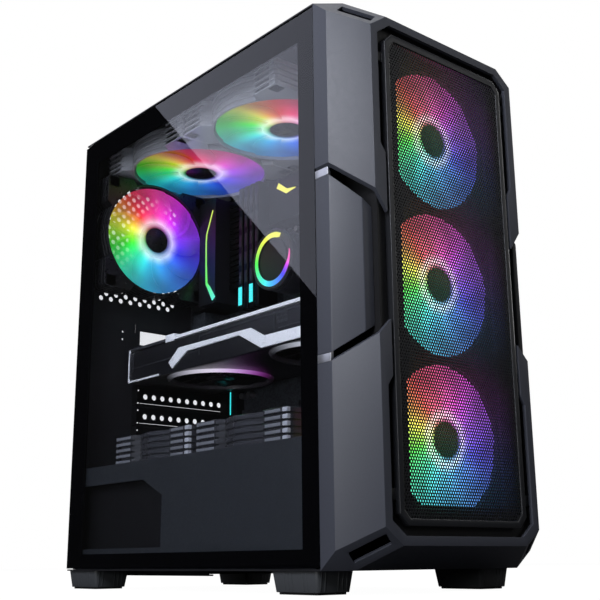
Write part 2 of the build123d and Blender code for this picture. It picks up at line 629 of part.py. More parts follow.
with BuildPart() as io_board:
    block((-52, BUTTON_Y - 11, BOARD_DECK - 1.6), (73, BUTTON_Y + 11, BOARD_DECK))
    for button_x, button_r in BUTTONS.values():
        round_bar((button_x, BUTTON_Y, BOARD_DECK), (0, 0, 1), 2.0, BUTTON_STEM - 1.8)
    for port_x in USB_X:
        block((port_x - 6.6, BUTTON_Y - 2.8, BOARD_DECK), (port_x + 6.6, BUTTON_Y + 2.8, TOP - 0.4))
        block((port_x - 6.1, BUTTON_Y - 2.3, BOARD_DECK + 2), (port_x + 6.1, BUTTON_Y + 2.3, TOP - 0.4),
              mode=Mode.SUBTRACT)
        block((port_x - 5.0, BUTTON_Y + 0.2, BOARD_DECK + 2), (port_x + 5.0, BUTTON_Y + 2.3, TOP - 1.5))
    for port_x in AUDIO_X:
        round_bar((port_x, BUTTON_Y, BOARD_DECK), (0, 0, 1), 3.0, TOP - 0.4 - BOARD_DECK)
        round_bar((port_x, BUTTON_Y, BOARD_DECK + 1), (0, 0, 1), 1.8, TOP - 1.4 - BOARD_DECK,
                  mode=Mode.SUBTRACT)
save(io_board, "io_board")

# ---- fans ---------------------------------------------------------------------------------------

EAR = 30.0
DUCT_WALL = 2.2
STRUT = 3.0
STRUT_WIDTH = 5.0
STRUT_ANGLE = 20
FAN_SCREW_INSET = 7.4
EAR_CORNER = 5.0
BEARING_FACE = 6.0
BEARING_R = 4.0
HUB_R = 20.0
BLADE_COUNT = 9
BLADE_PITCH = 38


def fan_frame(size, face):
    """An open fan frame: a round duct with four screw ears, and struts to the bearing at the back."""
    bore = size / 2 - DUCT_WALL
    screw = size / 2 - FAN_SCREW_INSET
    with BuildPart() as frame:
        with BuildSketch(face):
            Circle(size / 2)
            with GridLocations(size - EAR, size - EAR, 2, 2):
                RectangleRounded(EAR, EAR, EAR_CORNER)
            Circle(bore, mode=Mode.SUBTRACT)
            with GridLocations(2 * screw, 2 * screw, 2, 2):
                Circle(FAN_SCREW_HOLE_R - AXLE_CLEARANCE, mode=Mode.SUBTRACT)
        extrude(amount=FAN_DEPTH)
        with BuildSketch(face.offset(FAN_DEPTH - STRUT)):
            Circle(HUB_R)
            with PolarLocations((bore + HUB_R) / 2, 4, start_angle=STRUT_ANGLE):
                Rectangle(bore - HUB_R + 2, STRUT_WIDTH)
        extrude(amount=STRUT)
        with BuildSketch(face.offset(BEARING_FACE)):
            Circle(BEARING_R)
            Circle(AXLE_R + AXLE_CLEARANCE, mode=Mode.SUBTRACT)
        extrude(amount=FAN_DEPTH - BEARING_FACE - STRUT)
    return frame


def fan_rotor(blade_tip, face, depth=FAN_DEPTH, hub=HUB_R, blades=BLADE_COUNT):
    """A hub cup with its axle and a ring of pitched blades, turning about the face's normal."""
    cup_depth = depth - 4.5
    chord = 1.9 * math.pi * (hub + blade_tip) / 2 / blades
    with BuildPart() as rotor:
        with BuildSketch(face.offset(1)):
            Circle(hub)
        extrude(amount=cup_depth)
        with BuildSketch(face.offset(3)):
            Circle(hub - 1.5)
        extrude(amount=cup_depth, mode=Mode.SUBTRACT)
        with BuildSketch(face.offset(2)):
            Circle(AXLE_R)
        extrude(amount=cup_depth - 4)
        blade_length = blade_tip + 6 - hub
        with Locations(face.offset(1 + cup_depth / 2)):
            with PolarLocations(hub - 0.7 + blade_length / 2, blades):
                Box(blade_length, min(chord, (cup_depth - 2) / math.sin(math.radians(BLADE_PITCH))), 1.4,
                    rotation=(BLADE_PITCH, 0, 0))
        with BuildSketch(face):
            Circle(blade_tip)
        extrude(amount=depth, mode=Mode.INTERSECT)
        with BuildSketch(face.offset(3)):
            Circle(hub - 1.5)
            Circle(AXLE_R, mode=Mode.SUBTRACT)
        extrude(amount=cup_depth, mode=Mode.SUBTRACT)
    return rotor


FORWARD_FACE = {"x_dir": (1, 0, 0), "z_dir": (0, 1, 0)}
UPWARD_FACE = {"x_dir": (1, 0, 0), "z_dir": (0, 0, 1)}
FAN_PLACES = {
    "front_fan_low": (SMALL_FAN, Plane(origin=(0, FRONT_FAN_FACE, FRONT_FAN_Z[0]), **FORWARD_FACE)),
    "front_fan_middle": (SMALL_FAN, Plane(origin=(0, FRONT_FAN_FACE, FRONT_FAN_Z[1]), **FORWARD_FACE)),
    "front_fan_high": (SMALL_FAN, Plane(origin=(0, FRONT_FAN_FACE, FRONT_FAN_Z[2]), **FORWARD_FACE)),
    "rear_fan": (SMALL_FAN, Plane(origin=(REAR_FAN_X, REAR_INNER - FAN_DEPTH, REAR_FAN_Z), **FORWARD_FACE)),
    "top_fan_front": (LARGE_FAN,
                      Plane(origin=(TOP_FAN_X, TOP_FAN_Y[0], TOP_FAN_HIGH - FAN_DEPTH), **UPWARD_FACE)),
    "top_fan_rear": (LARGE_FAN, Plane(origin=(TOP_FAN_X, TOP_FAN_Y[1], TOP_FAN_HIGH - FAN_DEPTH),
                                      **UPWARD_FACE)),
    "shroud_fan_front": (SMALL_FAN, Plane(origin=(SHROUD_FAN_X, SHROUD_FAN_Y[0], SHROUD_TOP + FAN_DEPTH),
                                          x_dir=(1, 0, 0), z_dir=(0, 0, -1))),
    "shroud_fan_rear": (SMALL_FAN, Plane(origin=(SHROUD_FAN_X, SHROUD_FAN_Y[1], SHROUD_TOP + FAN_DEPTH),
                                         x_dir=(1, 0, 0), z_dir=(0, 0, -1))),
}

for fan_name, (fan_size, fan_face) in FAN_PLACES.items():
    save(fan_frame(fan_size, fan_face), fan_name + "_frame")
    save(fan_rotor(fan_size / 2 - 3.6, fan_face), fan_name + "_rotor")

# ---- motherboard --------------------------------------------------------------------------------

BOARD_HIGH = BOARD_LOW + BOARD_SIZE[1]
BOARD_FRONT = BOARD_REAR - BOARD_SIZE[0]
CPU_Y = 34.0
CPU_Z = 305.0
MEMORY_Y = (-42.0, -33.0, -24.0, -15.0, 83.0, 92.0, 101.0, 110.0)
MEMORY_Z = (272.0, 405.0)
CARD_Z = 227.6
SOCKET_HALF = (28.0, 30.0)
SOCKET_THICK = 5.0
MEMORY_HALF = 3.2
MEMORY_SLOT_HALF = 3.0
MEMORY_SLOT_TALL = 8.0
MEMORY_FACE = 34.0
EXPANSION_Z = (CARD_Z, 170.0, 129.0)
EXPANSION_Y = (45.0, 135.0)
EXPANSION_HALF = 3.5
EXPANSION_TALL = 11.0
EDGE_CONNECTORS = [(12.0, 290.0, 344.0), (10.0, 180.0, 240.0)]
PORT_FRONT = 171.0
PORT_LEFT = 33.2
PORTS = [(258, 282), (288, 302), (305, 319), (322, 336), (339, 353), (358, 374), (378, 396)]

with BuildPart() as motherboard:
    block((BOARD_X, BOARD_FRONT, BOARD_LOW), (BOARD_X + BOARD_THICK, BOARD_REAR, BOARD_HIGH))
    block((BOARD_X - SOCKET_THICK, CPU_Y - SOCKET_HALF[0], CPU_Z - SOCKET_HALF[1]),
          (BOARD_X, CPU_Y + SOCKET_HALF[0], CPU_Z + SOCKET_HALF[1]))
    for memory_y in MEMORY_Y:
        block((BOARD_X - MEMORY_SLOT_TALL, memory_y - MEMORY_SLOT_HALF, MEMORY_Z[0] - 4),
              (BOARD_X, memory_y + MEMORY_SLOT_HALF, MEMORY_Z[1] + 3))
    for slot_z in EXPANSION_Z:
        block((BOARD_X - EXPANSION_TALL, EXPANSION_Y[0], slot_z - EXPANSION_HALF),
              (BOARD_X, EXPANSION_Y[1], slot_z + EXPANSION_HALF))
    for connector_tall, connector_low, connector_high in EDGE_CONNECTORS:
        block((BOARD_X - connector_tall, BOARD_FRONT + 2, connector_low),
              (BOARD_X, BOARD_FRONT + 12, connector_high))
    for port_low, port_high in PORTS:
        block((PORT_LEFT, PORT_FRONT, port_low), (BOARD_X, REAR_INNER, port_high))
        block((PORT_LEFT + 1, REAR_INNER, port_low + 1), (BOARD_X - 1, REAR_OUTER + 0.8, port_high - 1))
    block((IO_OPENING[0][0] + 0.3, REAR_INNER, IO_OPENING[0][1] + 0.3),
          (IO_OPENING[1][0] - 0.3, REAR_INNER + 0.8, IO_OPENING[1][1] - 0.3))
save(motherboard, "motherboard")

COVER_WALL = 2.0
COVER_X = (22.0, 31.0, BOARD_X - 0.1)
COVER_Y = (138.5, 167.5, REAR_INNER - 0.1)
COVER_Z = (285.0, 400.0)

with BuildPart() as io_cover:
    block((COVER_X[0], COVER_Y[0], COVER_Z[0]), (COVER_X[2], COVER_Y[1], COVER_Z[1]))
    block((COVER_X[1], COVER_Y[1], COVER_Z[0]), (COVER_X[2], COVER_Y[2], COVER_Z[1]))
    block((COVER_X[0] + COVER_WALL, COVER_Y[0] + COVER_WALL, COVER_Z[0] + COVER_WALL),
          (COVER_X[2], COVER_Y[1] - COVER_WALL, COVER_Z[1] - COVER_WALL), mode=Mode.SUBTRACT)
    block((COVER_X[1] + COVER_WALL, COVER_Y[1] - COVER_WALL, COVER_Z[0] + COVER_WALL),
          (COVER_X[2], COVER_Y[2], COVER_Z[1] - COVER_WALL), mode=Mode.SUBTRACT)
save(io_cover, "io_cover")

with BuildPart() as ram_modules:
    for memory_y in MEMORY_Y:
        block((MEMORY_FACE, memory_y - MEMORY_HALF, MEMORY_Z[0]),
              (BOARD_X - MEMORY_SLOT_TALL, memory_y + MEMORY_HALF, MEMORY_Z[1]))
save(ram_modules, "ram_modules")

COOLER_R = 30.5
COOLER_FACE = 14.0
COOLER_NECK_R = 27.0
COOLER_NECK = 18.0
COOLER_BACK = BOARD_X - SOCKET_THICK
LAMP_RING = (21.5, 27.5)

with BuildPart() as cpu_cooler:
    round_bar((COOLER_BACK, CPU_Y, CPU_Z), (-1, 0, 0), COOLER_NECK_R, COOLER_NECK)
    round_bar((COOLER_BACK - COOLER_NECK, CPU_Y, CPU_Z), (-1, 0, 0), COOLER_R,
              COOLER_BACK - COOLER_NECK - COOLER_FACE)
    with BuildSketch(side_plane(COOLER_FACE)):
        with Locations((CPU_Y, CPU_Z)):
            Circle(LAMP_RING[1])
            Circle(LAMP_RING[0], mode=Mode.SUBTRACT)
    extrude(amount=1.5, mode=Mode.SUBTRACT)
save(cpu_cooler, "cpu_cooler")


def finned_block(low, high, fin_pitch, groove_depth):
    """A heatsink that stands off the board, its face cut by grooves across its height."""
    block(low, high)
    for fin in range(1, int((high[2] - low[2]) / fin_pitch)):
        groove_z = low[2] + fin * fin_pitch
        block((low[0], low[1], groove_z), (low[0] + groove_depth, high[1], groove_z + 1.8),
              mode=Mode.SUBTRACT)


# Each heatsink is its low corner, the Y and Z of its high corner, its fin pitch and its groove depth.
FINNED_HEATSINKS = [((40.0, 118.0, 300.0), (137.5, 396.0), 6, 12),
                    ((57.0, -52.0, 122.0), (12.0, 168.0), 6, 3),
                    ((60.0, 20.0, 148.0), (122.0, 162.0), 7, 1)]
PLAIN_HEATSINKS = [((44.0, -6.0, 356.0), (76.0, 402.0)), ((58.0, 146.0, 125.0), (176.0, 196.0))]

with BuildPart() as heatsinks:
    for sink_low, sink_high, fin_pitch, groove_depth in FINNED_HEATSINKS:
        finned_block(sink_low, (BOARD_X, *sink_high), fin_pitch, groove_depth)
    for sink_low, sink_high in PLAIN_HEATSINKS:
        block(sink_low, (BOARD_X, *sink_high))
save(heatsinks, "heatsinks")

# ---- graphics card ------------------------------------------------------------------------------

CARD_SIDE = -50.0
CARD_FRONT = -105.0
CARD_REAR = 184.0
CARD_LOW = 197.0
CARD_FAN_X = 5.0
CARD_FAN_Y = (-56.0, 103.0)
CARD_FAN_R = 46.0
CLIP_Y = (102.0, 117.0)
CARD_CORE_LOW = 216.0
CARD_PORT_X = (-12.0, 10.0, 32.0)
CARD_PORT_WIDTH = 16.0
CARD_BOARD = 1.6
BRACKET_HALF = 9.0
CARD_INNER = 55.0

with BuildPart() as gpu_board:
    block((CARD_SIDE + 4, CARD_FRONT + 4, CARD_Z), (BOARD_X - EXPANSION_TALL, CARD_REAR, CARD_Z + CARD_BOARD))
    block((CARD_SIDE + 8, CARD_FRONT + 12, CARD_CORE_LOW), (CARD_INNER - 5, CARD_REAR - 14, CARD_Z))
    bracket_low, bracket_high = slot_centre(2) - BRACKET_HALF, slot_centre(1) + BRACKET_HALF
    block((COVER_LEFT, REAR_INNER - 1, bracket_low), (COVER_RIGHT, REAR_INNER, bracket_high))
    block((COVER_LEFT, REAR_INNER - 9, bracket_low), (COVER_LEFT + 1, REAR_INNER - 1, bracket_high))
    block((COVER_LEFT + 8, CARD_REAR, CARD_Z - 4), (COVER_LEFT + 18, REAR_INNER - 1, CARD_Z + CARD_BOARD))
    for port_x in CARD_PORT_X:
        block((port_x, CARD_REAR - 12, CARD_Z - 6.5),
              (port_x + CARD_PORT_WIDTH, REAR_OUTER + 1, CARD_Z - 0.5))
    for fan_y in CARD_FAN_Y:
        round_bar((CARD_FAN_X, fan_y, CARD_CORE_LOW), (0, 0, -1), 12, 4)
        round_bar((CARD_FAN_X, fan_y, 202), (0, 0, 1), AXLE_R + AXLE_CLEARANCE, 14, mode=Mode.SUBTRACT)
save(gpu_board, "gpu_board")

with BuildPart() as gpu_shroud:
    block((CARD_SIDE, CARD_FRONT, CARD_LOW), (CARD_INNER, CARD_REAR, CARD_Z - 0.2))
    block((CARD_SIDE + 2, CARD_FRONT + 2, CARD_LOW + 2), (CARD_INNER, CARD_REAR, CARD_Z - 0.2),
          mode=Mode.SUBTRACT)
    for fan_y in CARD_FAN_Y:
        round_bar((CARD_FAN_X, fan_y, CARD_LOW), (0, 0, 1), CARD_FAN_R + 2, 2, mode=Mode.SUBTRACT)
save(gpu_shroud, "gpu_shroud")

TRIM_BAND = [(103, 200.4), (109.5, 207), (92.5, 219), (-18.5, 217.7), (-37, 207.8), (-103, 207.2),
             (-103, 197.8), (-33, 197.6), (-2, 214), (78.5, 213.4)]

with BuildPart() as gpu_trim:
    with BuildSketch(side_plane(CARD_SIDE - 2)):
        Polygon(*TRIM_BAND, align=None)
    extrude(amount=2)
    block((CARD_SIDE, CARD_FRONT + 4, CARD_Z + CARD_BOARD), (CARD_INNER, CLIP_Y[0], CARD_Z + 4.8))
    block((CARD_SIDE - 1, CLIP_Y[0], CARD_Z), (CARD_SIDE, CLIP_Y[1], CARD_Z + 7.2))
    block((CARD_SIDE, CLIP_Y[0], CARD_Z + CARD_BOARD), (CARD_SIDE + 14, CLIP_Y[1], CARD_Z + 7.2))
save(gpu_trim, "gpu_trim")

for fan_number, fan_y in enumerate(CARD_FAN_Y, start=1):
    gpu_fan_face = Plane(origin=(CARD_FAN_X, fan_y, CARD_LOW - 1.5), **UPWARD_FACE)
    save(fan_rotor(CARD_FAN_R, gpu_fan_face, depth=13.0, hub=15.0, blades=11), f"gpu_fan_{fan_number}")

# ---- power supply -------------------------------------------------------------------------------

PSU_FAN_X = (PSU_X[0] + PSU_X[1]) / 2
PSU_FAN_Y = 112.0
PSU_FAN_R = 58.0
GRILLE_CENTRE = (-40.0, 63.0)
GRILLE_PITCH = 4.6
GRILLE_COUNT = (8, 9)
GRILLE_HOLE_R = 3.7
SWITCH_Z = 84.0
INLET_X = 22.0

with BuildPart() as psu_case:
    block((PSU_X[0], PSU_Y[0], PSU_Z[0]), (PSU_X[1], PSU_Y[1], PSU_Z[1]))
    block((PSU_X[0] + SHEET, PSU_Y[0] + SHEET, PSU_Z[0] + SHEET),
          (PSU_X[1] - SHEET, PSU_Y[1] - SHEET, PSU_Z[1] - SHEET), mode=Mode.SUBTRACT)
    round_bar((PSU_FAN_X, PSU_FAN_Y, PSU_Z[0]), (0, 0, 1), PSU_FAN_R + 2, SHEET, mode=Mode.SUBTRACT)
    block((PSU_FAN_X - 4, PSU_FAN_Y - PSU_FAN_R - 4, PSU_Z[0]),
          (PSU_FAN_X + 4, PSU_FAN_Y + PSU_FAN_R + 4, PSU_Z[0] + SHEET))
    with BuildSketch(wall_plane(PSU_Y[1])):
        with Locations(GRILLE_CENTRE):
            with HexLocations(GRILLE_PITCH, *GRILLE_COUNT):
                RegularPolygon(GRILLE_HOLE_R, 6)
    extrude(amount=SHEET, mode=Mode.SUBTRACT)
    block((PSU_FAN_X - 10, PSU_FAN_Y - 10, PSU_Z[0] + 1.2), (PSU_FAN_X + 10, PSU_FAN_Y + 10, PSU_Z[0] + 3))
    round_bar((PSU_FAN_X, PSU_FAN_Y, PSU_Z[0] + 2), (0, 0, 1), AXLE_R + AXLE_CLEARANCE, 10,
              mode=Mode.SUBTRACT)
    block((INLET_X - 14, PSU_Y[1] - 18, SWITCH_Z - 34), (INLET_X + 14, PSU_Y[1] - 1, SWITCH_Z - 10))
    block((INLET_X - 12, PSU_Y[1] - 16, SWITCH_Z - 32), (INLET_X + 12, PSU_Y[1], SWITCH_Z - 12),
          mode=Mode.SUBTRACT)
    for pin_x, pin_z in ((-7, -24), (0, -20), (7, -24)):
        block((INLET_X + pin_x - 1, PSU_Y[1] - 16, SWITCH_Z + pin_z - 2),
              (INLET_X + pin_x + 1, PSU_Y[1] - 3, SWITCH_Z + pin_z + 2))
    block((INLET_X - 9, PSU_Y[1] - 8, SWITCH_Z - 7), (INLET_X + 9, PSU_Y[1] - 1, SWITCH_Z + 7))
    block((INLET_X - 7.5, PSU_Y[1] - 6.5, SWITCH_Z - 5.5), (INLET_X + 7.5, PSU_Y[1], SWITCH_Z + 5.5),
          mode=Mode.SUBTRACT)
save(psu_case, "psu_case")

psu_fan_face = Plane(origin=(PSU_FAN_X, PSU_FAN_Y, PSU_Z[0] + 22), x_dir=(1, 0, 0), z_dir=(0, 0, -1))
save(fan_rotor(PSU_FAN_R, psu_fan_face, depth=18.0), "psu_fan")

ROCKER_OUTLINE = [(-3.0, -4.8), (2.2, -4.2), (-0.6, 0.2), (-1.6, 4.4), (-3.0, 4.6), (-5.0, 0.0)]

with BuildPart() as psu_switch:
    with BuildSketch(side_plane(INLET_X - 6.5)):
        Polygon(*[(PSU_Y[1] + y, SWITCH_Z + z) for y, z in ROCKER_OUTLINE], align=None)
    extrude(amount=13)
save(psu_switch, "psu_switch")

# ---- drive --------------------------------------------------------------------------------------

DRIVE_X = (-50.8, 50.8)
DRIVE_Y = (-140.0, 7.0)
DRIVE_Z = (26.0, 52.0)

with BuildPart() as drive_cage:
    block((DRIVE_X[0] - 4.2, DRIVE_Y[0] - 4, PAN_TOP), (DRIVE_X[1] + 4.2, -2, DRIVE_Z[1] + 14))
    block((DRIVE_X[0] - 3, DRIVE_Y[0] - 5, PAN_TOP + SHEET), (DRIVE_X[1] + 3, -1, DRIVE_Z[1] + 14 - SHEET),
          mode=Mode.SUBTRACT)
    for side in (-1, 1):
        rail_in, rail_out = sorted((side * (DRIVE_X[1] - 6), side * (DRIVE_X[1] + 3)))
        block((rail_in, DRIVE_Y[0] - 2, DRIVE_Z[0] - 3), (rail_out, -6, DRIVE_Z[0]))
save(drive_cage, "drive_cage")

with BuildPart() as hard_drive:
    block((DRIVE_X[0], DRIVE_Y[0], DRIVE_Z[0]), (DRIVE_X[1], DRIVE_Y[1], DRIVE_Z[1]))
    chamfer(hard_drive.edges().filter_by(Axis.Z), 2)
save(hard_drive, "hard_drive")

# ---- fasteners ----------------------------------------------------------------------------------

SCREW_R = 3.2
SCREW_TALL = 1.8

with BuildPart() as chassis_screws:
    for corner_x in (-FAN_SCREW_HALF, FAN_SCREW_HALF):
        for corner_z in (-FAN_SCREW_HALF, FAN_SCREW_HALF):
            round_bar((REAR_FAN_X + corner_x, REAR_OUTER, REAR_FAN_Z + corner_z), (0, 1, 0), SCREW_R,
                      SCREW_TALL)
            round_bar((REAR_FAN_X + corner_x, REAR_INNER - 6, REAR_FAN_Z + corner_z), (0, 1, 0), 1.9,
                      6 + SHEET)
    for psu_screw_x, psu_screw_z in ((PSU_X[0] + 3, 28), (PSU_X[0] + 3, 98), (PSU_X[1] - 2, 28),
                                     (PSU_X[1] - 2, 98)):
        round_bar((psu_screw_x, REAR_OUTER, psu_screw_z), (0, 1, 0), SCREW_R, SCREW_TALL)
    for standoff_y in STANDOFF_Y:
        for standoff_z in STANDOFF_Z:
            round_bar((BOARD_X, standoff_y, standoff_z), (-1, 0, 0), SCREW_R, SCREW_TALL)
save(chassis_screws, "chassis_screws")
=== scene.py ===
import colorsys
import json
import math

import bmesh
import bpy
from mathutils import Matrix, Vector

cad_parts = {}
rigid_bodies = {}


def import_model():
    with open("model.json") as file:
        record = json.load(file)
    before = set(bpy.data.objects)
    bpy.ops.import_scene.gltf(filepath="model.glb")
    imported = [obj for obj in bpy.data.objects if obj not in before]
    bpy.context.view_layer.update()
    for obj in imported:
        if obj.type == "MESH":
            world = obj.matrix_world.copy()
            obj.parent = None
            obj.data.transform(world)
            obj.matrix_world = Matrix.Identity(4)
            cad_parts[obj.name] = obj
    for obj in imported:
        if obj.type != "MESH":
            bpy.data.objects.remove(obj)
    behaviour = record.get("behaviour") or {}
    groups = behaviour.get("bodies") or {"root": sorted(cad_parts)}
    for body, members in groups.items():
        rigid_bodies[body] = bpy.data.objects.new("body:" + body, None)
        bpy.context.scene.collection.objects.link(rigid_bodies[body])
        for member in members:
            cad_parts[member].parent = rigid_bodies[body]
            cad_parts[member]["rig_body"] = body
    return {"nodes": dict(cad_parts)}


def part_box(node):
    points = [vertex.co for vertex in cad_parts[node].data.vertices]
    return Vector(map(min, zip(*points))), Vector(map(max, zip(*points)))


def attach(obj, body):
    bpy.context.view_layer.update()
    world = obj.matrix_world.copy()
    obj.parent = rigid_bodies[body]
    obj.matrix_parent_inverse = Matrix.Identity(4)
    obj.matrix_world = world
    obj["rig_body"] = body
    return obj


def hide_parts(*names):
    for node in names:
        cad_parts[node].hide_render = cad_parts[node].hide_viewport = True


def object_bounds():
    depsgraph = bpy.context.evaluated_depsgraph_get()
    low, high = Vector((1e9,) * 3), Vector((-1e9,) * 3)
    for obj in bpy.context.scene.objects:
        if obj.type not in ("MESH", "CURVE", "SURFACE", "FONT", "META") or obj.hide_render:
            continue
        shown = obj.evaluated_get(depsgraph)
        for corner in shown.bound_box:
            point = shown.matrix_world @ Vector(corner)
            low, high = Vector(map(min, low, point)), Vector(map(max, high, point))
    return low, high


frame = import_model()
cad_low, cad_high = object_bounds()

# Everything is in metres. The front of the tower faces -Y and its glass side faces -X.

MM = 0.001
NODES = frame["nodes"]
FRONT_FANS = ("front_fan_low", "front_fan_middle", "front_fan_high")
TOP_FANS = ("top_fan_front", "top_fan_rear")
SHROUD_FANS = ("shroud_fan_front", "shroud_fan_rear")
CASE_FANS = FRONT_FANS + ("rear_fan",) + TOP_FANS + SHROUD_FANS


# ---- materials ----------------------------------------------------------------------------------

class Look:
    """A material round one Principled shader, with helpers for procedural variation in metres."""

    def __init__(self, name, colour, roughness, metallic=0.0):
        self.material = bpy.data.materials.new(name)
        self.material.use_nodes = True
        self.tree = self.material.node_tree
        self.shader = self.tree.nodes["Principled BSDF"]
        self.colour = colour
        self.shader.inputs["Base Color"].default_value = (*colour, 1.0)
        self.shader.inputs["Roughness"].default_value = roughness
        self.shader.inputs["Metallic"].default_value = metallic
        self.place = self.node("ShaderNodeTexCoord").outputs["Object"]

    def node(self, kind, **settings):
        made = self.tree.nodes.new(kind)
        for key, value in settings.items():
            setattr(made, key, value)
        return made

    def link(self, source, target):
        self.tree.links.new(source, target)

    def noise(self, size, detail=2.0, stretch=(1.0, 1.0, 1.0)):
        """Noise whose features are about the given size in metres, stretched along the axes."""
        mapping = self.node("ShaderNodeMapping")
        mapping.inputs["Scale"].default_value = [1.0 / (size * s) for s in stretch]
        self.link(self.place, mapping.inputs["Vector"])
        texture = self.node("ShaderNodeTexNoise")
        texture.inputs["Scale"].default_value = 1.0
        texture.inputs["Detail"].default_value = detail
        self.link(mapping.outputs["Vector"], texture.inputs["Vector"])
        return texture.outputs["Fac"]

    def spread(self, source, low, high):
        """Map the middle of a noise's range to low..high."""
        span = self.node("ShaderNodeMapRange")
        span.inputs["From Min"].default_value = 0.3
        span.inputs["From Max"].default_value = 0.7
        span.inputs["To Min"].default_value = low
        span.inputs["To Max"].default_value = high
        self.link(source, span.inputs["Value"])
        return span.outputs["Result"]

    def mottle(self, source, amount):
        """Vary the base colour's brightness by a share either way."""
        mix = self.node("ShaderNodeMix", data_type="RGBA")
        mix.inputs[6].default_value = (*[c * (1 - amount) for c in self.colour], 1.0)
        mix.inputs[7].default_value = (*[c * (1 + amount) for c in self.colour], 1.0)
        self.link(self.spread(source, 0.0, 1.0), mix.inputs[0])
        self.link(mix.outputs[2], self.shader.inputs["Base Color"])
        return self

    def vary_roughness(self, source, low, high):
        self.link(self.spread(source, low, high), self.shader.inputs["Roughness"])
        return self

    def bump(self, source, height, strength=1.0):
        bump = self.node("ShaderNodeBump")
        bump.inputs["Strength"].default_value = strength
        bump.inputs["Distance"].default_value = height
        self.link(source, bump.inputs["Height"])
        self.link(bump.outputs["Normal"], self.shader.inputs["Normal"])
        return self

    def show_through(self, share):
        """Let a share of the light, read from a socket, pass straight through."""
        mix = self.node("ShaderNodeMixShader")
        self.link(share, mix.inputs["Fac"])
        self.link(self.shader.outputs["BSDF"], mix.inputs[1])
        self.link(self.node("ShaderNodeBsdfTransparent").outputs["BSDF"], mix.inputs[2])
        self.link(mix.outputs["Shader"], self.tree.nodes["Material Output"].inputs["Surface"])

    def set(self, **values):
        """Set uniform values on the shader's own sockets."""
        for key, value in values.items():
            self.shader.inputs[key.replace("_", " ")].default_value = value
        return self


def moulded(name, colour, roughness, grain=0.4 * MM, relief=0.03 * MM, blotch=0.04):
    """Moulded plastic: a fine spark-eroded grain, slight colour and gloss variation."""
    look = Look(name, colour, roughness)
    fine = look.noise(grain, 3.0)
    look.mottle(look.noise(1.1 * MM, 3.0), blotch)
    look.vary_roughness(look.noise(2.5 * MM, 3.0), roughness - 0.04, roughness + 0.04)
    return look.bump(fine, relief, 0.35)


def powder_coat(name, colour, roughness):
    """Painted sheet steel with a fine orange-peel texture."""
    look = Look(name, colour, roughness)
    look.mottle(look.noise(14 * MM, 4.0), 0.12)
    look.vary_roughness(look.noise(1.2 * MM, 2.0), roughness - 0.08, roughness + 0.08)
    return look.bump(look.noise(0.7 * MM, 2.0), 0.05 * MM, 0.4)


def satin_metal(name, colour, roughness, brushed=(1.0, 1.0, 1.0)):
    """Metal with fine brushing along its long axis."""
    look = Look(name, colour, roughness, metallic=1.0)
    look.mottle(look.noise(6 * MM, 3.0), 0.06)
    look.vary_roughness(look.noise(0.4 * MM, 2.0, brushed), roughness - 0.08, roughness + 0.08)
    return look.bump(look.noise(0.3 * MM, 2.0, brushed), 0.01 * MM, 0.3)


def silver_paint():
    """Bright silver lacquer with fine metal flake."""
    look = Look("silver_lacquer", (0.92, 0.93, 0.95), 0.30, metallic=0.05)
    look.mottle(look.noise(0.25 * MM, 1.0), 0.05)
    look.vary_roughness(look.noise(5 * MM, 3.0), 0.26, 0.38)
    return look.bump(look.noise(0.3 * MM, 2.0), 0.01 * MM, 0.3)


def back_print():
    """Black ink printed on the back of the glass."""
    look = Look("printed_border", (0.0015, 0.0015, 0.002), 0.45)
    look.set(Specular_IOR_Level=0.0)
    look.mottle(look.noise(1.5 * MM, 2.0), 0.2)
    return look.vary_roughness(look.noise(40 * MM, 2.0), 0.42, 0.50)


def circuit_board():
    """Black solder mask over faint copper tracks."""
    look = Look("solder_mask", (0.012, 0.014, 0.017), 0.42)
    mapping = look.node("ShaderNodeMapping")
    mapping.inputs["Scale"].default_value = (400, 400, 400)
    look.link(look.place, mapping.inputs["Vector"])
    cells = look.node("ShaderNodeTexVoronoi", feature="F1", distance="MANHATTAN")
    cells.inputs["Scale"].default_value = 1.0
    look.link(mapping.outputs["Vector"], cells.inputs["Vector"])
    ramp = look.node("ShaderNodeValToRGB")
    ramp.color_ramp.interpolation = "CONSTANT"
    ramp.color_ramp.elements[0].color = (0.012, 0.014, 0.017, 1)
    ramp.color_ramp.elements[1].color = (0.030, 0.034, 0.040, 1)
    ramp.color_ramp.elements[1].position = 0.72
    look.link(cells.outputs["Distance"], ramp.inputs["Fac"])
    look.link(ramp.outputs["Color"], look.shader.inputs["Base Color"])
    return look.bump(cells.outputs["Distance"], 0.03 * MM, 0.3)


def painted_light(name, strength, roughness=0.35, clear=False):
    """Frosted plastic lit from within, coloured point by point by the mesh's glow colours.

    Where clear is set, the glow colours' alpha is the share of light that passes straight through.
    """
    look = Look(name, (0.06, 0.06, 0.065), roughness)
    attribute = look.node("ShaderNodeVertexColor", layer_name="glow")
    if clear:
        look.show_through(attribute.outputs["Alpha"])
    look.link(attribute.outputs["Color"], look.shader.inputs["Emission Color"])
    look.set(Emission_Strength=strength)
    look.mottle(look.noise(3 * MM, 2.0), 0.15)
    return look


def pane(name, tint):
    """Flat tinted glass that lets lamps through."""
    look = Look(name, tint, 0.0)
    look.set(Transmission_Weight=1.0, IOR=1.5)
    faint = look.noise(120 * MM, 2.0)
    look.vary_roughness(faint, 0.0, 0.004)
    clear = look.node("ShaderNodeBsdfTransparent")
    clear.inputs["Color"].default_value = (*[math.sqrt(c) for c in tint], 1.0)
    path = look.node("ShaderNodeLightPath")
    mix = look.node("ShaderNodeMixShader")
    look.link(path.outputs["Is Shadow Ray"], mix.inputs["Fac"])
    look.link(look.shader.outputs["BSDF"], mix.inputs[1])
    look.link(clear.outputs["BSDF"], mix.inputs[2])
    look.link(mix.outputs["Shader"], look.tree.nodes["Material Output"].inputs["Surface"])
    return look


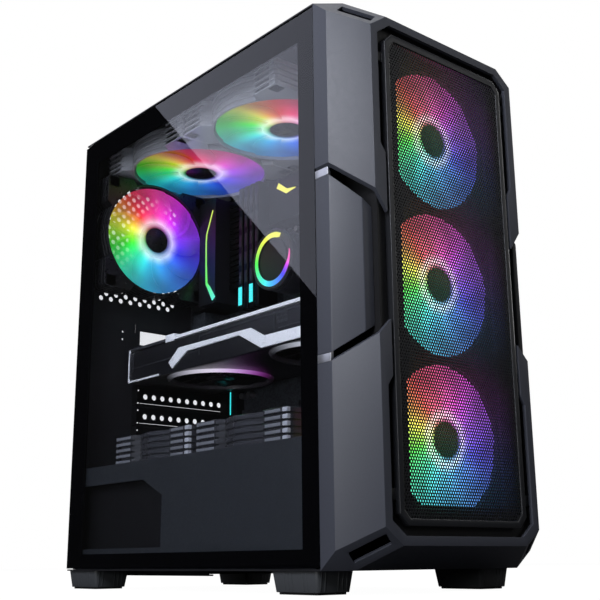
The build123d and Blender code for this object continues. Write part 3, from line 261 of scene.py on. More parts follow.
LOOKS = {
    "bezel": moulded("satin_grey_plastic", (0.056, 0.060, 0.076), 0.42),
    "bezel_dark": moulded("dark_grey_plastic", (0.030, 0.031, 0.036), 0.42),
    "core": moulded("black_plastic", (0.006, 0.006, 0.007), 0.50),
    "foot": moulded("foot_plastic", (0.060, 0.064, 0.069), 0.40),
    "mesh_frame": moulded("mesh_frame_plastic", (0.016, 0.017, 0.020), 0.34),
    "mesh": powder_coat("perforated_steel", (0.013, 0.014, 0.016), 0.40),
    "steel": powder_coat("black_steel", (0.010, 0.010, 0.012), 0.45),
    # Black steel made darker (painted shade) and less glossy for the parts inside the case.
    "painted_shade_inner_steel": powder_coat("painted_shade_inner_black_steel", (0.003, 0.003, 0.0035), 0.48).set(Specular_IOR_Level=0.22),
    # The rear panel's black steel, a little darker (painted shade) and less glossy.
    "painted_shade_rear_steel": powder_coat("painted_shade_rear_black_steel", (0.008, 0.008, 0.009), 0.48).set(Specular_IOR_Level=0.30),
    "shroud": powder_coat("shroud_steel", (0.011, 0.013, 0.016), 0.45),
    "silver": satin_metal("satin_silver", (0.70, 0.71, 0.74), 0.36),
    "bright_trim": silver_paint(),
    "rim_metal": satin_metal("dark_chrome", (0.30, 0.31, 0.33), 0.30),
    "screw": satin_metal("black_zinc", (0.16, 0.16, 0.17), 0.35),
    "bright_screw": satin_metal("bright_zinc", (0.55, 0.55, 0.57), 0.30),
    "gold": satin_metal("contact_gold", (0.75, 0.55, 0.22), 0.30),
    "anodised": satin_metal("black_anodised", (0.020, 0.020, 0.023), 0.42, (1, 12, 1)),
    "drive": satin_metal("cast_aluminium", (0.42, 0.42, 0.44), 0.42),
    "rubber": moulded("rubber", (0.008, 0.008, 0.008), 0.75, 0.8 * MM),
    # Black fan plastic lightened above dark_fan_plastic for the shroud fans' frames: painted light.
    "fan_plastic": moulded("fan_plastic", (0.032, 0.033, 0.038), 0.22),
    # A much lighter copy of the fan plastic for the top fans' frames: painted light on them.
    "painted_lit_fan": moulded("painted_lit_fan_plastic", (0.42, 0.43, 0.46), 0.22),
    # Lighter fan plastic for the plate ends on the ears facing the glass: painted light.
    "painted_lit_ear_plastic": moulded("painted_lit_ear_plastic", (0.14, 0.145, 0.16), 0.22),
    # Pale colour for the segmented corner strip: a painted highlight.
    "painted_highlight_strip": moulded("painted_highlight_strip_plastic", (0.36, 0.37, 0.40), 0.22),
    "dark_fan": moulded("dark_fan_plastic", (0.008, 0.008, 0.009), 0.30),
    "card_plastic": moulded("card_plastic", (0.008, 0.008, 0.010), 0.34),
    "grey_plastic": moulded("card_grey_plastic", (0.035, 0.036, 0.041), 0.36),
    "button": moulded("button_plastic", (0.02, 0.02, 0.022), 0.28),
    "filter": moulded("filter_plastic", (0.012, 0.012, 0.013), 0.55, 0.9 * MM, 0.08 * MM),
    "board": circuit_board(),
    "socket": moulded("connector_plastic", (0.010, 0.010, 0.011), 0.38),
    "port_blue": moulded("port_blue_plastic", (0.02, 0.09, 0.45), 0.35),
    "glass": pane("tinted_glass", (0.90, 0.92, 0.96)),
    "print": back_print(),
    "rainbow": painted_light("rainbow_blades", 0.72),
    "rainbow_front": painted_light("rainbow_front_blades", 2.5),
    "rainbow_clear": painted_light("rainbow_clear_blades", 1.0, clear=True),
    "light_line": painted_light("light_lines", 1.1),
}

CAD_LOOKS = {
    "steel": ("bottom_pan", "top_frame", "right_side_panel"),
    # The rear panel and the inside parts take the darker steel copies: painted shade.
    "painted_shade_rear_steel": ("rear_panel",),
    "painted_shade_inner_steel": ("psu_case", "front_wall", "motherboard_tray", "slot_covers", "drive_cage"),
    "shroud": ("psu_shroud",),
    "core": ("bezel_core",),
    "screw": ("glass_thumbscrews", "right_thumbscrews"),
    "bright_screw": ("chassis_screws",),
    "rubber": ("foot_pads",),
    "filter": ("top_filter", "psu_filter"),
    "button": ("power_button", "reset_button", "light_button", "psu_switch"),
    "board": ("io_board", "motherboard", "gpu_board"),
    "card_plastic": ("io_cover",),
    "anodised": ("heatsinks",),
    "drive": ("hard_drive",),
    "glass": ("glass_panel",),
}


def finish_cad_nodes():
    """Give every carried-over CAD node its procedural material."""
    for look, names in CAD_LOOKS.items():
        for name in names:
            for slot in NODES[name].material_slots:
                slot.material = LOOKS[look].material


PRINT_BITE = 0.05 * MM


def bonded_print():
    """The printed border, set a hair into the back of the glass so that no air lies between them."""
    glass_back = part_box("glass_panel")[1].x
    mesh = NODES["glass_panel_frame"].data.copy()
    for vertex in mesh.vertices:
        if abs(vertex.co.x - glass_back) < 0.01 * MM:
            vertex.co.x -= PRINT_BITE
    made = finish_piece("printed_border", mesh, "print", "glass_door")
    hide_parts("glass_panel_frame")


# ---- mesh helpers -------------------------------------------------------------------------------

def piece(name, vertices, faces, look, body, smooth_angle=None):
    """A mesh object in the row frame that rides on a body."""
    mesh = bpy.data.meshes.new(name)
    mesh.from_pydata([tuple(v) for v in vertices], [], faces)
    return finish_piece(name, mesh, look, body, smooth_angle)


def finish_piece(name, mesh, look, body, smooth_angle=None):
    mesh.validate()
    mesh.materials.clear()
    mesh.materials.append(LOOKS[look].material)
    if smooth_angle is not None:
        mesh.shade_smooth()
        mesh.set_sharp_from_angle(angle=math.radians(smooth_angle))
    made = bpy.data.objects.new(name, mesh)
    bpy.context.scene.collection.objects.link(made)
    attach(made, body)
    return made


def bmesh_piece(name, work, look, body, smooth_angle=None):
    mesh = bpy.data.meshes.new(name)
    work.to_mesh(mesh)
    work.free()
    return finish_piece(name, mesh, look, body, smooth_angle)


def bevelled_copy(node, look, width=0.5 * MM, segments=2):
    """A CAD node's own shape with its edges rounded, standing for the node."""
    source = NODES[node]
    work = bmesh.new()
    work.from_mesh(source.data)
    bmesh.ops.remove_doubles(work, verts=work.verts, dist=0.002 * MM)
    bmesh.ops.dissolve_limit(work, angle_limit=math.radians(0.6), verts=work.verts, edges=work.edges)
    sharp = [e for e in work.edges if e.is_manifold and e.calc_face_angle(0) > math.radians(12)]
    bmesh.ops.bevel(work, geom=sharp, offset=width, segments=segments, profile=0.6, affect="EDGES",
                    clamp_overlap=True, offset_type="OFFSET")
    made = bmesh_piece(node + "_finish", work, look, source["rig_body"], smooth_angle=38)
    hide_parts(node)
    return made


def add_block(work, low, high):
    """Add a rectangular block between two corners to a bmesh."""
    centre = (Vector(low) + Vector(high)) / 2
    size = Vector(high) - Vector(low)
    matrix = Matrix.Translation(centre) @ Matrix.Diagonal((*size, 1.0))
    return bmesh.ops.create_cube(work, size=1.0, matrix=matrix)["verts"]


def bevel_all(work, width, segments=2):
    edges = [e for e in work.edges if e.is_manifold and e.calc_face_angle(0) > math.radians(20)]
    bmesh.ops.bevel(work, geom=edges, offset=width, segments=segments, profile=0.6, affect="EDGES",
                    clamp_overlap=True, offset_type="OFFSET")


def centre_of(node):
    low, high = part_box(node)
    return (low + high) / 2


# ---- fan rotors ---------------------------------------------------------------------------------

HUE_STOPS = ((0, 0.70), (40, 0.77), (70, 0.87), (100, 0.94), (125, 0.98), (150, 1.08), (172, 1.20), (198, 1.34),
             (228, 1.45), (255, 1.54), (285, 1.585), (320, 1.63), (360, 1.70))
CLEAR_STOPS = ((0, 0.0), (8, 0.0), (20, 0.62), (66, 0.62), (76, 0.3), (90, 0.3), (104, 0.62), (190, 0.62),
               (222, 0.25), (240, 0.0), (360, 0.0))
VIEW_RIGHT = Vector((0.76, -0.65, 0.0))
TOWARDS_VIEW = Vector((-0.65, -0.76, 0.0))
HUB_SHARE = 0.355
CAP_SHARE = 0.235
BACK_SHADE = 0.20
CLEAR_LIFT = 2.0


def between_stops(stops, where):
    for (a, value_a), (b, value_b) in zip(stops, stops[1:]):
        if a <= where <= b:
            return value_a + (value_b - value_a) * (where - a) / (b - a)
    return stops[-1][1]


def hue_at(degrees):
    """The light's hue at an angle round the fan, anticlockwise from the right."""
    degrees %= 360
    for (a, hue_a), (b, hue_b) in zip(HUE_STOPS, HUE_STOPS[1:]):
        if a <= degrees <= b:
            return (hue_a + (hue_b - hue_a) * (degrees - a) / (b - a)) % 1.0
    return HUE_STOPS[0][1]


def glow_colour(angle, reach, shade, depth=0.93, turn=0.0, see_through=False):
    """Light colour at an angle, from whitish at the hub's rim (reach 0) to saturated at the tips (reach 1).

    Its alpha is how clear the blade is there.
    """
    degrees = math.degrees(angle)
    saturation = min(depth, 0.34 + 2.6 * max(0.0, reach)) if reach >= 0 else 0.34 + 0.45 * min(1.0, -reach)
    value = 1.25 - 0.62 * min(1.0, max(0.0, reach) * 1.3)
    if reach < 0:
        value = 1.25 * (1 + 0.75 * reach)
    clear = between_stops(CLEAR_STOPS, degrees % 360) * min(1.0, max(0.0, reach - 0.1) * 3.0)
    colour = colorsys.hsv_to_rgb(hue_at(degrees + turn), saturation, 1.0)
    lift = 1 + CLEAR_LIFT * clear if see_through else 1
    return (*[(c * value) ** 1.5 * shade * lift for c in colour], clear)


def paint(made, colours):
    """Store a colour for each vertex, for the lit materials to read."""
    layer = made.data.color_attributes.new("glow", "FLOAT_COLOR", "POINT")
    layer.data.foreach_set("color", [c for colour in colours for c in colour])
    return made


def blade_sheet(face, into, right, up, hub, tip, depth, blades, slope, gap):
    """Vertices, faces and (angle, reach, shade) of broad curved blades that overlap a little."""
    vertices, points, faces = [], [], []
    radial, chordwise = 12, 10
    span = 2 * math.pi / blades
    row = chordwise + 1
    for blade in range(blades):
        for side in (0, 1):
            for i in range(radial + 1):
                reach = i / radial
                radius = hub * 0.97 + (tip - hub * 0.97) * reach
                width = span * (1.10 - gap)
                sweep = 0.42 * reach * reach
                for j in range(row):
                    chord = j / chordwise
                    angle = blade * span + sweep + width * (chord - 0.5)
                    axial = depth * (0.04 + slope * chord) + side * 0.9 * MM
                    vertices.append(face + (right * math.cos(angle) + up * math.sin(angle)) * radius + into * axial)
                    # Each blade glows brightest mid-chord and dimmer at its leading and trailing edges: painted
                    # shading that draws the blades' streaks.
                    shade = (0.82 + 0.26 * math.sin(math.pi * chord) ** 2) * (BACK_SHADE if side else 1.0)
                    points.append((angle, reach, shade))
        front = len(vertices) - 2 * (radial + 1) * row
        back = front + (radial + 1) * row
        for i in range(radial):
            for j in range(chordwise):
                quad = (i * row + j, i * row + j + 1, (i + 1) * row + j + 1, (i + 1) * row + j)
                faces.append([front + v for v in quad[::-1]])
                faces.append([back + v for v in quad])
        rim = [i * row for i in range(radial + 1)] + [radial * row + j for j in range(1, row)]
        rim += [i * row + chordwise for i in range(radial - 1, -1, -1)] + list(range(chordwise - 1, 0, -1))
        wall = len(vertices)
        for spot in rim:
            vertices += [vertices[front + spot].copy(), vertices[back + spot].copy()]
            points += [points[front + spot]] * 2
        for k in range(len(rim)):
            a, b = wall + 2 * k, wall + 2 * ((k + 1) % len(rim))
            faces.append((a, b, b + 1, a + 1))
    return vertices, faces, points


def rotor(name, node, body, into, right, up, look="rainbow", blades=9, dim=1.0, slope=0.09, gap=0.0, turn=0.0):
    """A fan rotor: a hub cup with a pale lit ring, and broad blades. into points from its face to its back."""
    low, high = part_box(node)
    into, right, up = Vector(into), Vector(right).normalized(), Vector(up).normalized()
    depth = abs((high - low).dot(into))
    tip = max(high - low) / 2 - 0.05 * MM
    hub = tip * HUB_SHARE
    face = (low + high) / 2 - into * (depth / 2)
    vertices, faces, points = blade_sheet(face, into, right, up, hub, tip, depth, blades, slope, gap)
    made = piece(name + "_blades", vertices, faces, look, body, smooth_angle=40)
    depth_of_colour = 0.74 if look == "rainbow_front" else 0.90
    if look.startswith("rainbow"):
        colours = [glow_colour(angle, reach, shade * dim, depth_of_colour, turn, look == "rainbow_clear")
                   for angle, reach, shade in points]
        paint(made, colours)
    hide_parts(node)

    cap = tip * CAP_SHARE
    ring = [(cap, 0.9 * MM), (cap * 1.05, 0.5 * MM), (hub * 0.80, 0.45 * MM), (hub * 0.93, 0.9 * MM),
            (hub, 2.2 * MM), (hub, depth * 0.86)]
    vertices, faces = revolve(ring, face, into, right, up)
    shell_look = "rainbow" if look == "rainbow_clear" else look
    shell = piece(name + "_hub", vertices, faces, shell_look, body, smooth_angle=35)
    if look.startswith("rainbow"):
        steps = len(vertices) // len(ring)
        reaches = (-1.0, -0.8, -0.25, 0.0, 0.02, 0.3)
        paint(shell, [glow_colour(2 * math.pi * step / steps, reach, 1.05 * dim, turn=turn)
                      for step in range(steps) for reach in reaches])
    disc = [(0.01 * MM, 0.35 * MM), (cap * 0.72, 0.35 * MM), (cap * 0.75, 0.55 * MM), (cap * 0.97, 0.6 * MM),
            (cap, 0.9 * MM), (cap, 2.5 * MM), (0.01 * MM, 2.5 * MM)]
    vertices, faces = revolve(disc, face, into, right, up)
    piece(name + "_cap", vertices, faces, "dark_fan", body, smooth_angle=35)


def revolve(profile, centre, axis, right, up, steps=72):
    """Vertices and faces of a profile of (radius, distance along the axis) turned round the axis."""
    vertices, faces = [], []
    for step in range(steps):
        angle = 2 * math.pi * step / steps
        outward = right * math.cos(angle) + up * math.sin(angle)
        for radius, along in profile:
            vertices.append(centre + outward * radius + axis * along)
    count = len(profile)
    for step in range(steps):
        after = (step + 1) % steps
        for k in range(count - 1):
            faces.append((step * count + k, after * count + k, after * count + k + 1, step * count + k + 1))
    return vertices, faces


FORWARD_FAN = {"into": (0, 1, 0), "right": (1, 0, 0), "up": (0, 0, 1)}
ROOF_FAN = {"into": (0, 0, 1), "right": VIEW_RIGHT, "up": TOWARDS_VIEW}
SHROUD_FAN = {"into": (0, 0, -1), "right": VIEW_RIGHT, "up": -TOWARDS_VIEW}
ROOF_TURN = 32.0


def make_rotors():
    """Every fan's rotor, with colours laid out round it as its own lamp ring lights it."""
    for fan in FRONT_FANS:
        rotor(fan, fan + "_rotor", fan, look="rainbow_front", **FORWARD_FAN)
    rotor("rear_fan", "rear_fan_rotor", "rear_fan", look="rainbow_clear", **FORWARD_FAN)
    for fan in TOP_FANS:
        rotor(fan, fan + "_rotor", fan, turn=ROOF_TURN, **ROOF_FAN)
    for fan in SHROUD_FANS:
        rotor(fan, fan + "_rotor", fan, dim=0.10, **SHROUD_FAN)
    for fan in ("gpu_fan_1", "gpu_fan_2"):
        rotor(fan, fan, fan, look="dark_fan", blades=11, slope=0.50, gap=0.22, **ROOF_FAN)
    rotor("psu_fan", "psu_fan", "psu_fan", into=(0, 0, 1), right=(1, 0, 0), up=(0, 1, 0), look="dark_fan",
          blades=7, slope=0.6, gap=0.28)


# ---- fan frames ---------------------------------------------------------------------------------

EAR = 30 * MM
DUCT_WALL = 2.2 * MM
PLATES = 5
GROOVE = 1.4 * MM
GROOVE_DEPTH = 2.6 * MM


def frame_radius(angle, half, corner):
    """Distance from a fan's centre to its frame's outline: a round duct with a screw ear at each corner."""
    c, s = abs(math.cos(angle)), abs(math.sin(angle))
    if min(c, s) * half < (half - EAR) * max(c, s):
        return half
    flat = half / max(c, s)
    square = Vector((c, s)) * flat
    inner = half - corner
    if square.x > inner and square.y > inner:
        along = Vector((c, s))
        centre = Vector((inner, inner))
        b = along.dot(centre)
        return b + math.sqrt(max(0.0, b * b - centre.length_squared + corner * corner))
    return flat


def ring_stack(profile, centre, into, right, up, outline, bore):
    """Vertices and faces of a closed ring whose section steps through (inset from the outline, depth)."""
    vertices, faces = [], []
    steps = len(outline)
    for angle, radius in outline:
        outward = right * math.cos(angle) + up * math.sin(angle)
        for inset, depth in profile:
            reach = bore if inset is None else max(bore + 0.8 * MM, radius - inset)
            vertices.append(centre + outward * reach + into * depth)
    count = len(profile)
    for step in range(steps):
        after = (step + 1) % steps
        for k in range(count):
            n = (k + 1) % count
            faces.append((step * count + k, after * count + k, after * count + n, step * count + n))
    return vertices, faces


def fan_frame(fan, into, look="fan_plastic"):
    """A fan frame made of stacked plates, with its bearing, struts and rubber-faced screw ears."""
    low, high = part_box(fan + "_frame")
    into = Vector(into)
    size = sorted(high - low)
    half, depth = size[1] / 2, size[0]
    right, up = Vector((1, 0, 0)), into.cross(Vector((1, 0, 0)))
    face = (low + high) / 2 - into * (depth / 2)
    bore = half - DUCT_WALL
    angles = [math.radians(a * 1.5) for a in range(240)]
    outline = [(a, frame_radius(a, half, 5 * MM)) for a in angles]
    plate = (depth - GROOVE * (PLATES - 1)) / PLATES
    soft = 0.35 * MM
    profile = [(None, 0.0)]
    for number in range(PLATES):
        start = number * (plate + GROOVE)
        profile += [(soft, start), (0.0, start + soft), (0.0, start + plate - soft), (soft, start + plate)]
        if number < PLATES - 1:
            profile += [(GROOVE_DEPTH, start + plate), (GROOVE_DEPTH, start + plate + GROOVE)]
    profile.append((None, depth))
    vertices, faces = ring_stack(profile, face, into, right, up, outline, bore)
    made = piece(fan + "_duct", vertices, faces, look, "chassis", smooth_angle=30)
    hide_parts(fan + "_frame")

    work = bmesh.new()
    hub = 20 * MM
    back = depth - 3 * MM
    turn = Matrix((right, up, into)).transposed().to_4x4()
    for number in range(4):
        angle = math.radians(20 + 90 * number)
        strut = add_block(work, (hub * 0.9, -2.5 * MM, back), (bore + 0.5 * MM, 2.5 * MM, depth))
        bmesh.ops.rotate(work, verts=strut, cent=(0, 0, 0), matrix=Matrix.Rotation(angle, 3, "Z"))
    bevel_all(work, 0.5 * MM)
    bmesh.ops.create_cone(work, cap_ends=True, segments=48, radius1=hub, radius2=hub, depth=3 * MM,
                          matrix=Matrix.Translation((0, 0, back + 1.5 * MM)))
    bmesh.ops.transform(work, matrix=Matrix.Translation(face) @ turn, verts=work.verts)
    bmesh_piece(fan + "_bearing", work, "dark_fan", "chassis", smooth_angle=35)

    work = bmesh.new()
    screw = half - 7.4 * MM
    pad = 5.5 * MM
    for side_x in (-1, 1):
        for side_y in (-1, 1):
            for level in (0.0, depth):
                start = 0.0 if level == 0.0 else depth - 0.6 * MM
                add_block(work, (side_x * screw - pad, side_y * screw - pad, start),
                          (side_x * screw + pad, side_y * screw + pad, start + 0.6 * MM))
    bevel_all(work, 0.2 * MM)
    bmesh.ops.transform(work, matrix=Matrix.Translation(face) @ turn, verts=work.verts)
    bmesh_piece(fan + "_pads", work, "rubber", "chassis", smooth_angle=35)


def ear_plates(fan):
    """Plate ends and a segmented corner strip on the ears that face the glass: the plate ends are lightened as
    painted light, and the strip is coloured pale as a painted highlight.
    """
    low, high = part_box(fan + "_frame")
    middle = (low.y + high.y) / 2
    half = (high.y - low.y) / 2
    plate = (high.z - low.z - GROOVE * (PLATES - 1)) / PLATES
    plates, strip = bmesh.new(), bmesh.new()
    for number in range(PLATES):
        base = low.z + number * (plate + GROOVE)
        for start, end in ((middle + half - 0.92 * EAR, middle + half - 2 * MM),
                           (middle - half + 8 * MM, middle - half + 0.92 * EAR)):
            add_block(plates, (low.x, start, base + 0.3 * MM), (low.x + 2 * MM, end, base + plate - 0.3 * MM))
        add_block(strip, (low.x, middle - half + 0.4 * MM, base + 0.2 * MM),
                  (low.x + 5 * MM, middle - half + 6.6 * MM, base + plate - 0.2 * MM))
    # The glass-facing plate ends are lighter (painted light) and the corner strip is pale (a painted highlight).
    for work, look, tail in ((plates, "painted_lit_ear_plastic", "_plates"), (strip, "painted_highlight_strip", "_strip")):
        bevel_all(work, 0.5 * MM)
        bmesh_piece(fan + tail, work, look, "chassis", smooth_angle=35)


def make_fan_frames():
    for fan in TOP_FANS + SHROUD_FANS:
        ear_plates(fan)
    for fan in FRONT_FANS:
        fan_frame(fan, (0, 1, 0), "dark_fan")
    fan_frame("rear_fan", (0, 1, 0), "dark_fan")
    for fan in TOP_FANS:
        # The top fans' frames take the lighter fan plastic: painted light.
        fan_frame(fan, (0, 0, 1), "painted_lit_fan")
    for fan in SHROUD_FANS:
        # The shroud fans' frames take the lightened fan plastic: painted light.
        fan_frame(fan, (0, 0, -1))


# ---- perforated sheets --------------------------------------------------------------------------

def perforated(name, low, high, across, along, into, thickness, pitch, row_pitch, hole, look, body, corner=0.0):
    """A perforated sheet: staggered rows of cells, each with a six-sided hole and its walls."""
    across, along, into = (Vector(v) for v in (across, along, into))
    low, high = Vector(low), Vector(high)
    size = high - low
    width, height = abs(size.dot(across)), abs(size.dot(along))
    columns, rows = round(width / pitch), round(height / row_pitch)
    pitch, row_pitch = width / columns, height / rows
    vertices, faces, index = [], [], {}

    def vertex(u, v, depth):
        key = (round(u / MM, 3), round(v / MM, 3), depth > 0)
        if key not in index:
            index[key] = len(vertices)
            vertices.append(low + across * u + along * v + into * depth)
        return index[key]

    half, rise = pitch / 2, row_pitch / 2
    for row in range(rows):
        shift = 0.5 if row % 2 else 0.0
        for column in range(columns + 1):
            u, v = (column + shift) * pitch, (row + 0.5) * row_pitch
            left, right = max(0.0, u - half), min(width, u + half)
            if right - left < 0.1 * MM:
                continue
            outer = [(right, v - rise), (right, v + rise), (u, v + rise), (left, v + rise), (left, v - rise),
                     (u, v - rise)]
            outer = [(min(max(a, left), right), b) for a, b in outer]
            edge_u, edge_v = min(u, width - u), min(v, height - v)
            if edge_u < half * 0.9 or edge_v < rise * 0.9 or edge_u + edge_v < corner:
                ring = [vertex(a, b, 0.0) for a, b in outer]
                faces.append([v for k, v in enumerate(ring) if v != ring[k - 1]])
                continue
            rim = [(u + hole * math.cos(t), v + hole * math.sin(t))
                   for t in (math.radians(-30 + 60 * k) for k in range(6))]
            face_ring = [vertex(a, b, 0.0) for a, b in outer]
            near = [vertex(a, b, 0.0) for a, b in rim]
            far = [vertex(a, b, thickness) for a, b in rim]
            for k in range(6):
                after = (k + 1) % 6
                faces.append((face_ring[k], face_ring[after], near[after], near[k]))
                faces.append((near[k], near[after], far[after], far[k]))
    return piece(name, vertices, faces, look, body)


def front_mesh():
    low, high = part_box("front_mesh")
    made = perforated("perforated_mesh", low, high, (1, 0, 0), (0, 0, 1), (0, 1, 0), high.y - low.y,
                      2.56 * MM, 2.22 * MM, 1.0 * MM, "mesh", "front_bezel", corner=7.5 * MM)
    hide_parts("front_mesh")


def top_mesh():
    """Fine filter mesh stretched across the two windows of the lift-off top filter."""
    low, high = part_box("top_filter")
    for number, centre_y in enumerate((-40.0, 112.0)):
        made = perforated(f"top_filter_mesh_{number}", (-76 * MM, (centre_y - 66) * MM, high.z - 1.0 * MM),
                          (76 * MM, (centre_y + 66) * MM, high.z - 1.0 * MM), (1, 0, 0), (0, 1, 0), (0, 0, -1),
                          0.0005, 3.6 * MM, 3.1 * MM, 1.3 * MM, "mesh", "top_filter")


# ---- lit details --------------------------------------------------------------------------------

def hsv(hue, saturation=0.85, value=1.0):
    return (*[c ** 2.2 for c in colorsys.hsv_to_rgb(hue, saturation, value)], 1.0)


def light_ribbon(name, plane_x, points, widths, colours, thickness=0.5 * MM):
    """A lit strip on a plane of constant x, standing proud towards -X; points are (y, z)."""
    points = [Vector(point) * MM for point in points]
    vertices, faces, shades = [], [], []
    for k, point in enumerate(points):
        before, after = points[max(0, k - 1)], points[min(len(points) - 1, k + 1)]
        along = (after - before).normalized()
        across = Vector((-along.y, along.x)) * widths[k] * MM / 2
        for depth in (thickness, 0.0):
            for side in (1, -1):
                spot = point + across * side
                vertices.append((plane_x * MM - depth, spot.x, spot.y))
                shades.append(colours[k])
    for k in range(len(points) - 1):
        a, b = 4 * k, 4 * (k + 1)
        faces += [(a, b, b + 1, a + 1), (a + 1, b + 1, b + 3, a + 3), (a + 3, b + 3, b + 2, a + 2), (a + 2, b + 2, b, a)]
    last = 4 * (len(points) - 1)
    faces += [(0, 1, 3, 2), (last, last + 2, last + 3, last + 1)]
    made = piece(name, vertices, faces, "light_line", "chassis", smooth_angle=30)
    paint(made, shades)
    return made


IO_LINE = ((143.3, 387.4), (154.2, 362.6), (155.0, 353.8), (154.5, 330.0), (153.3, 307.8), (148.6, 301.8),
           (140.1, 288.9))
IO_LINE_WIDTHS = (1.4, 1.6, 1.8, 2.0, 3.2, 4.6, 6.0)
IO_LINE_HUES = (0.19, 0.22, 0.25, 0.29, 0.33, 0.40, 0.47)
TICK = ((60.5, 395.6), (46.5, 386.0), (32.4, 386.0))
TICK_WIDTHS = (6.0, 5.0, 0.7)
RING_CENTRE = (33.8, 304.7)
RING_START, RING_END = 60, 370
RING_STOPS = ((60, 0.16), (120, 0.17), (150, 0.22), (180, 0.34), (215, 0.44), (245, 0.50), (270, 0.56), (300, 0.63),
              (320, 0.72), (345, 0.88), (370, 0.92))
CYAN = hsv(0.50, 0.75)
YELLOW = hsv(0.16, 0.62)


def cooler():
    """The cooler's turned housing, rim and lamp ring, with the two hoses' elbows left to its own body."""
    low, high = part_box("cpu_cooler")
    centre = Vector((low.x, RING_CENTRE[0] * MM, (low.z + high.z) / 2))
    axis, right, up = Vector((1, 0, 0)), Vector((0, -1, 0)), Vector((0, 0, 1))
    depth = high.x - low.x
    radius = (high.z - low.z) / 2
    housing = [(0.01 * MM, 1.5 * MM), (20.8 * MM, 1.5 * MM), (21.0 * MM, 0.5 * MM), (21.4 * MM, 0.2 * MM),
               (21.5 * MM, 1.6 * MM), (27.0 * MM, 1.6 * MM), (27.2 * MM, 0.3 * MM), (27.8 * MM, 0.0),
               (radius - 1.2 * MM, 0.0), (radius, 1.2 * MM), (radius, 5 * MM), (radius - 1 * MM, 5.4 * MM),
               (radius - 1 * MM, 6.4 * MM), (radius, 6.8 * MM), (radius, depth - 18 * MM), (27 * MM, depth - 18 * MM),
               (27 * MM, depth)]
    vertices, faces = revolve(housing, centre, axis, right, up, 96)
    made = piece("cooler_housing", vertices, faces, "card_plastic", "chassis", smooth_angle=35)
    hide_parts("cpu_cooler")
    rim = [(27.9 * MM, -0.0 * MM), (28.4 * MM, 0.0), (radius - 1.3 * MM, 0.0), (radius - 0.3 * MM, 1.0 * MM)]
    rim = [(r, d - 0.12 * MM + 0.13 * MM) for r, d in rim]
    vertices, faces = revolve(rim, centre, axis, right, up, 96)
    piece("cooler_rim", vertices, faces, "rim_metal", "chassis", smooth_angle=40)

    steps = 124
    vertices, faces, shades = [], [], []
    for k in range(steps + 1):
        degrees = RING_START + (RING_END - RING_START) * k / steps
        fade = min(1.0, (RING_END - degrees) / 40) * min(1.0, 0.75 + (degrees - RING_START) / 60)
        outward = right * math.cos(math.radians(degrees)) + up * math.sin(math.radians(degrees))
        middle = 24.2 * MM + (1 - fade) * 1.5 * MM
        half = max(0.3 * MM, 2.6 * MM * fade)
        for reach, level in ((middle - half, 1.5 * MM), (middle - half, 0.5 * MM), (middle + half, 0.5 * MM),
                             (middle + half, 1.5 * MM)):
            vertices.append(centre + outward * reach + axis * level)
            shades.append(hsv(between_stops(RING_STOPS, degrees) % 1.0, 0.72))
        if k:
            a, b = 4 * (k - 1), 4 * k
            faces += [(a + n, b + n, b + n + 1, a + n + 1) for n in range(3)]
    made = piece("cooler_ring", vertices, faces, "light_line", "chassis", smooth_angle=35)
    paint(made, shades)


def lit_lines():
    light_ribbon("io_cover_line", 22, IO_LINE, IO_LINE_WIDTHS, [hsv(hue, 0.62) for hue in IO_LINE_HUES])
    light_ribbon("heatsink_tick", 44, TICK, TICK_WIDTHS, [YELLOW] * len(TICK))
    for number, bar_y in enumerate((92.0, 110.0)):
        light_ribbon(f"memory_bar_{number}", 34, ((bar_y, 296.5), (bar_y, 277.4)), (5.6, 5.6), [CYAN, CYAN])
    light_ribbon("audio_line", 58, ((157.7, 196.0), (157.7, 172.0)), (1.2, 1.2), [CYAN, CYAN])


# ---- graphics card ------------------------------------------------------------------------------

UNDERSIDE_HUES = {"gpu_fan_1": ((0, 0.62), (90, 0.60), (180, 0.66), (270, 0.60), (360, 0.62)),
                  "gpu_fan_2": ((0, 0.86), (90, 0.78), (180, 0.62), (270, 0.74), (360, 0.86))}


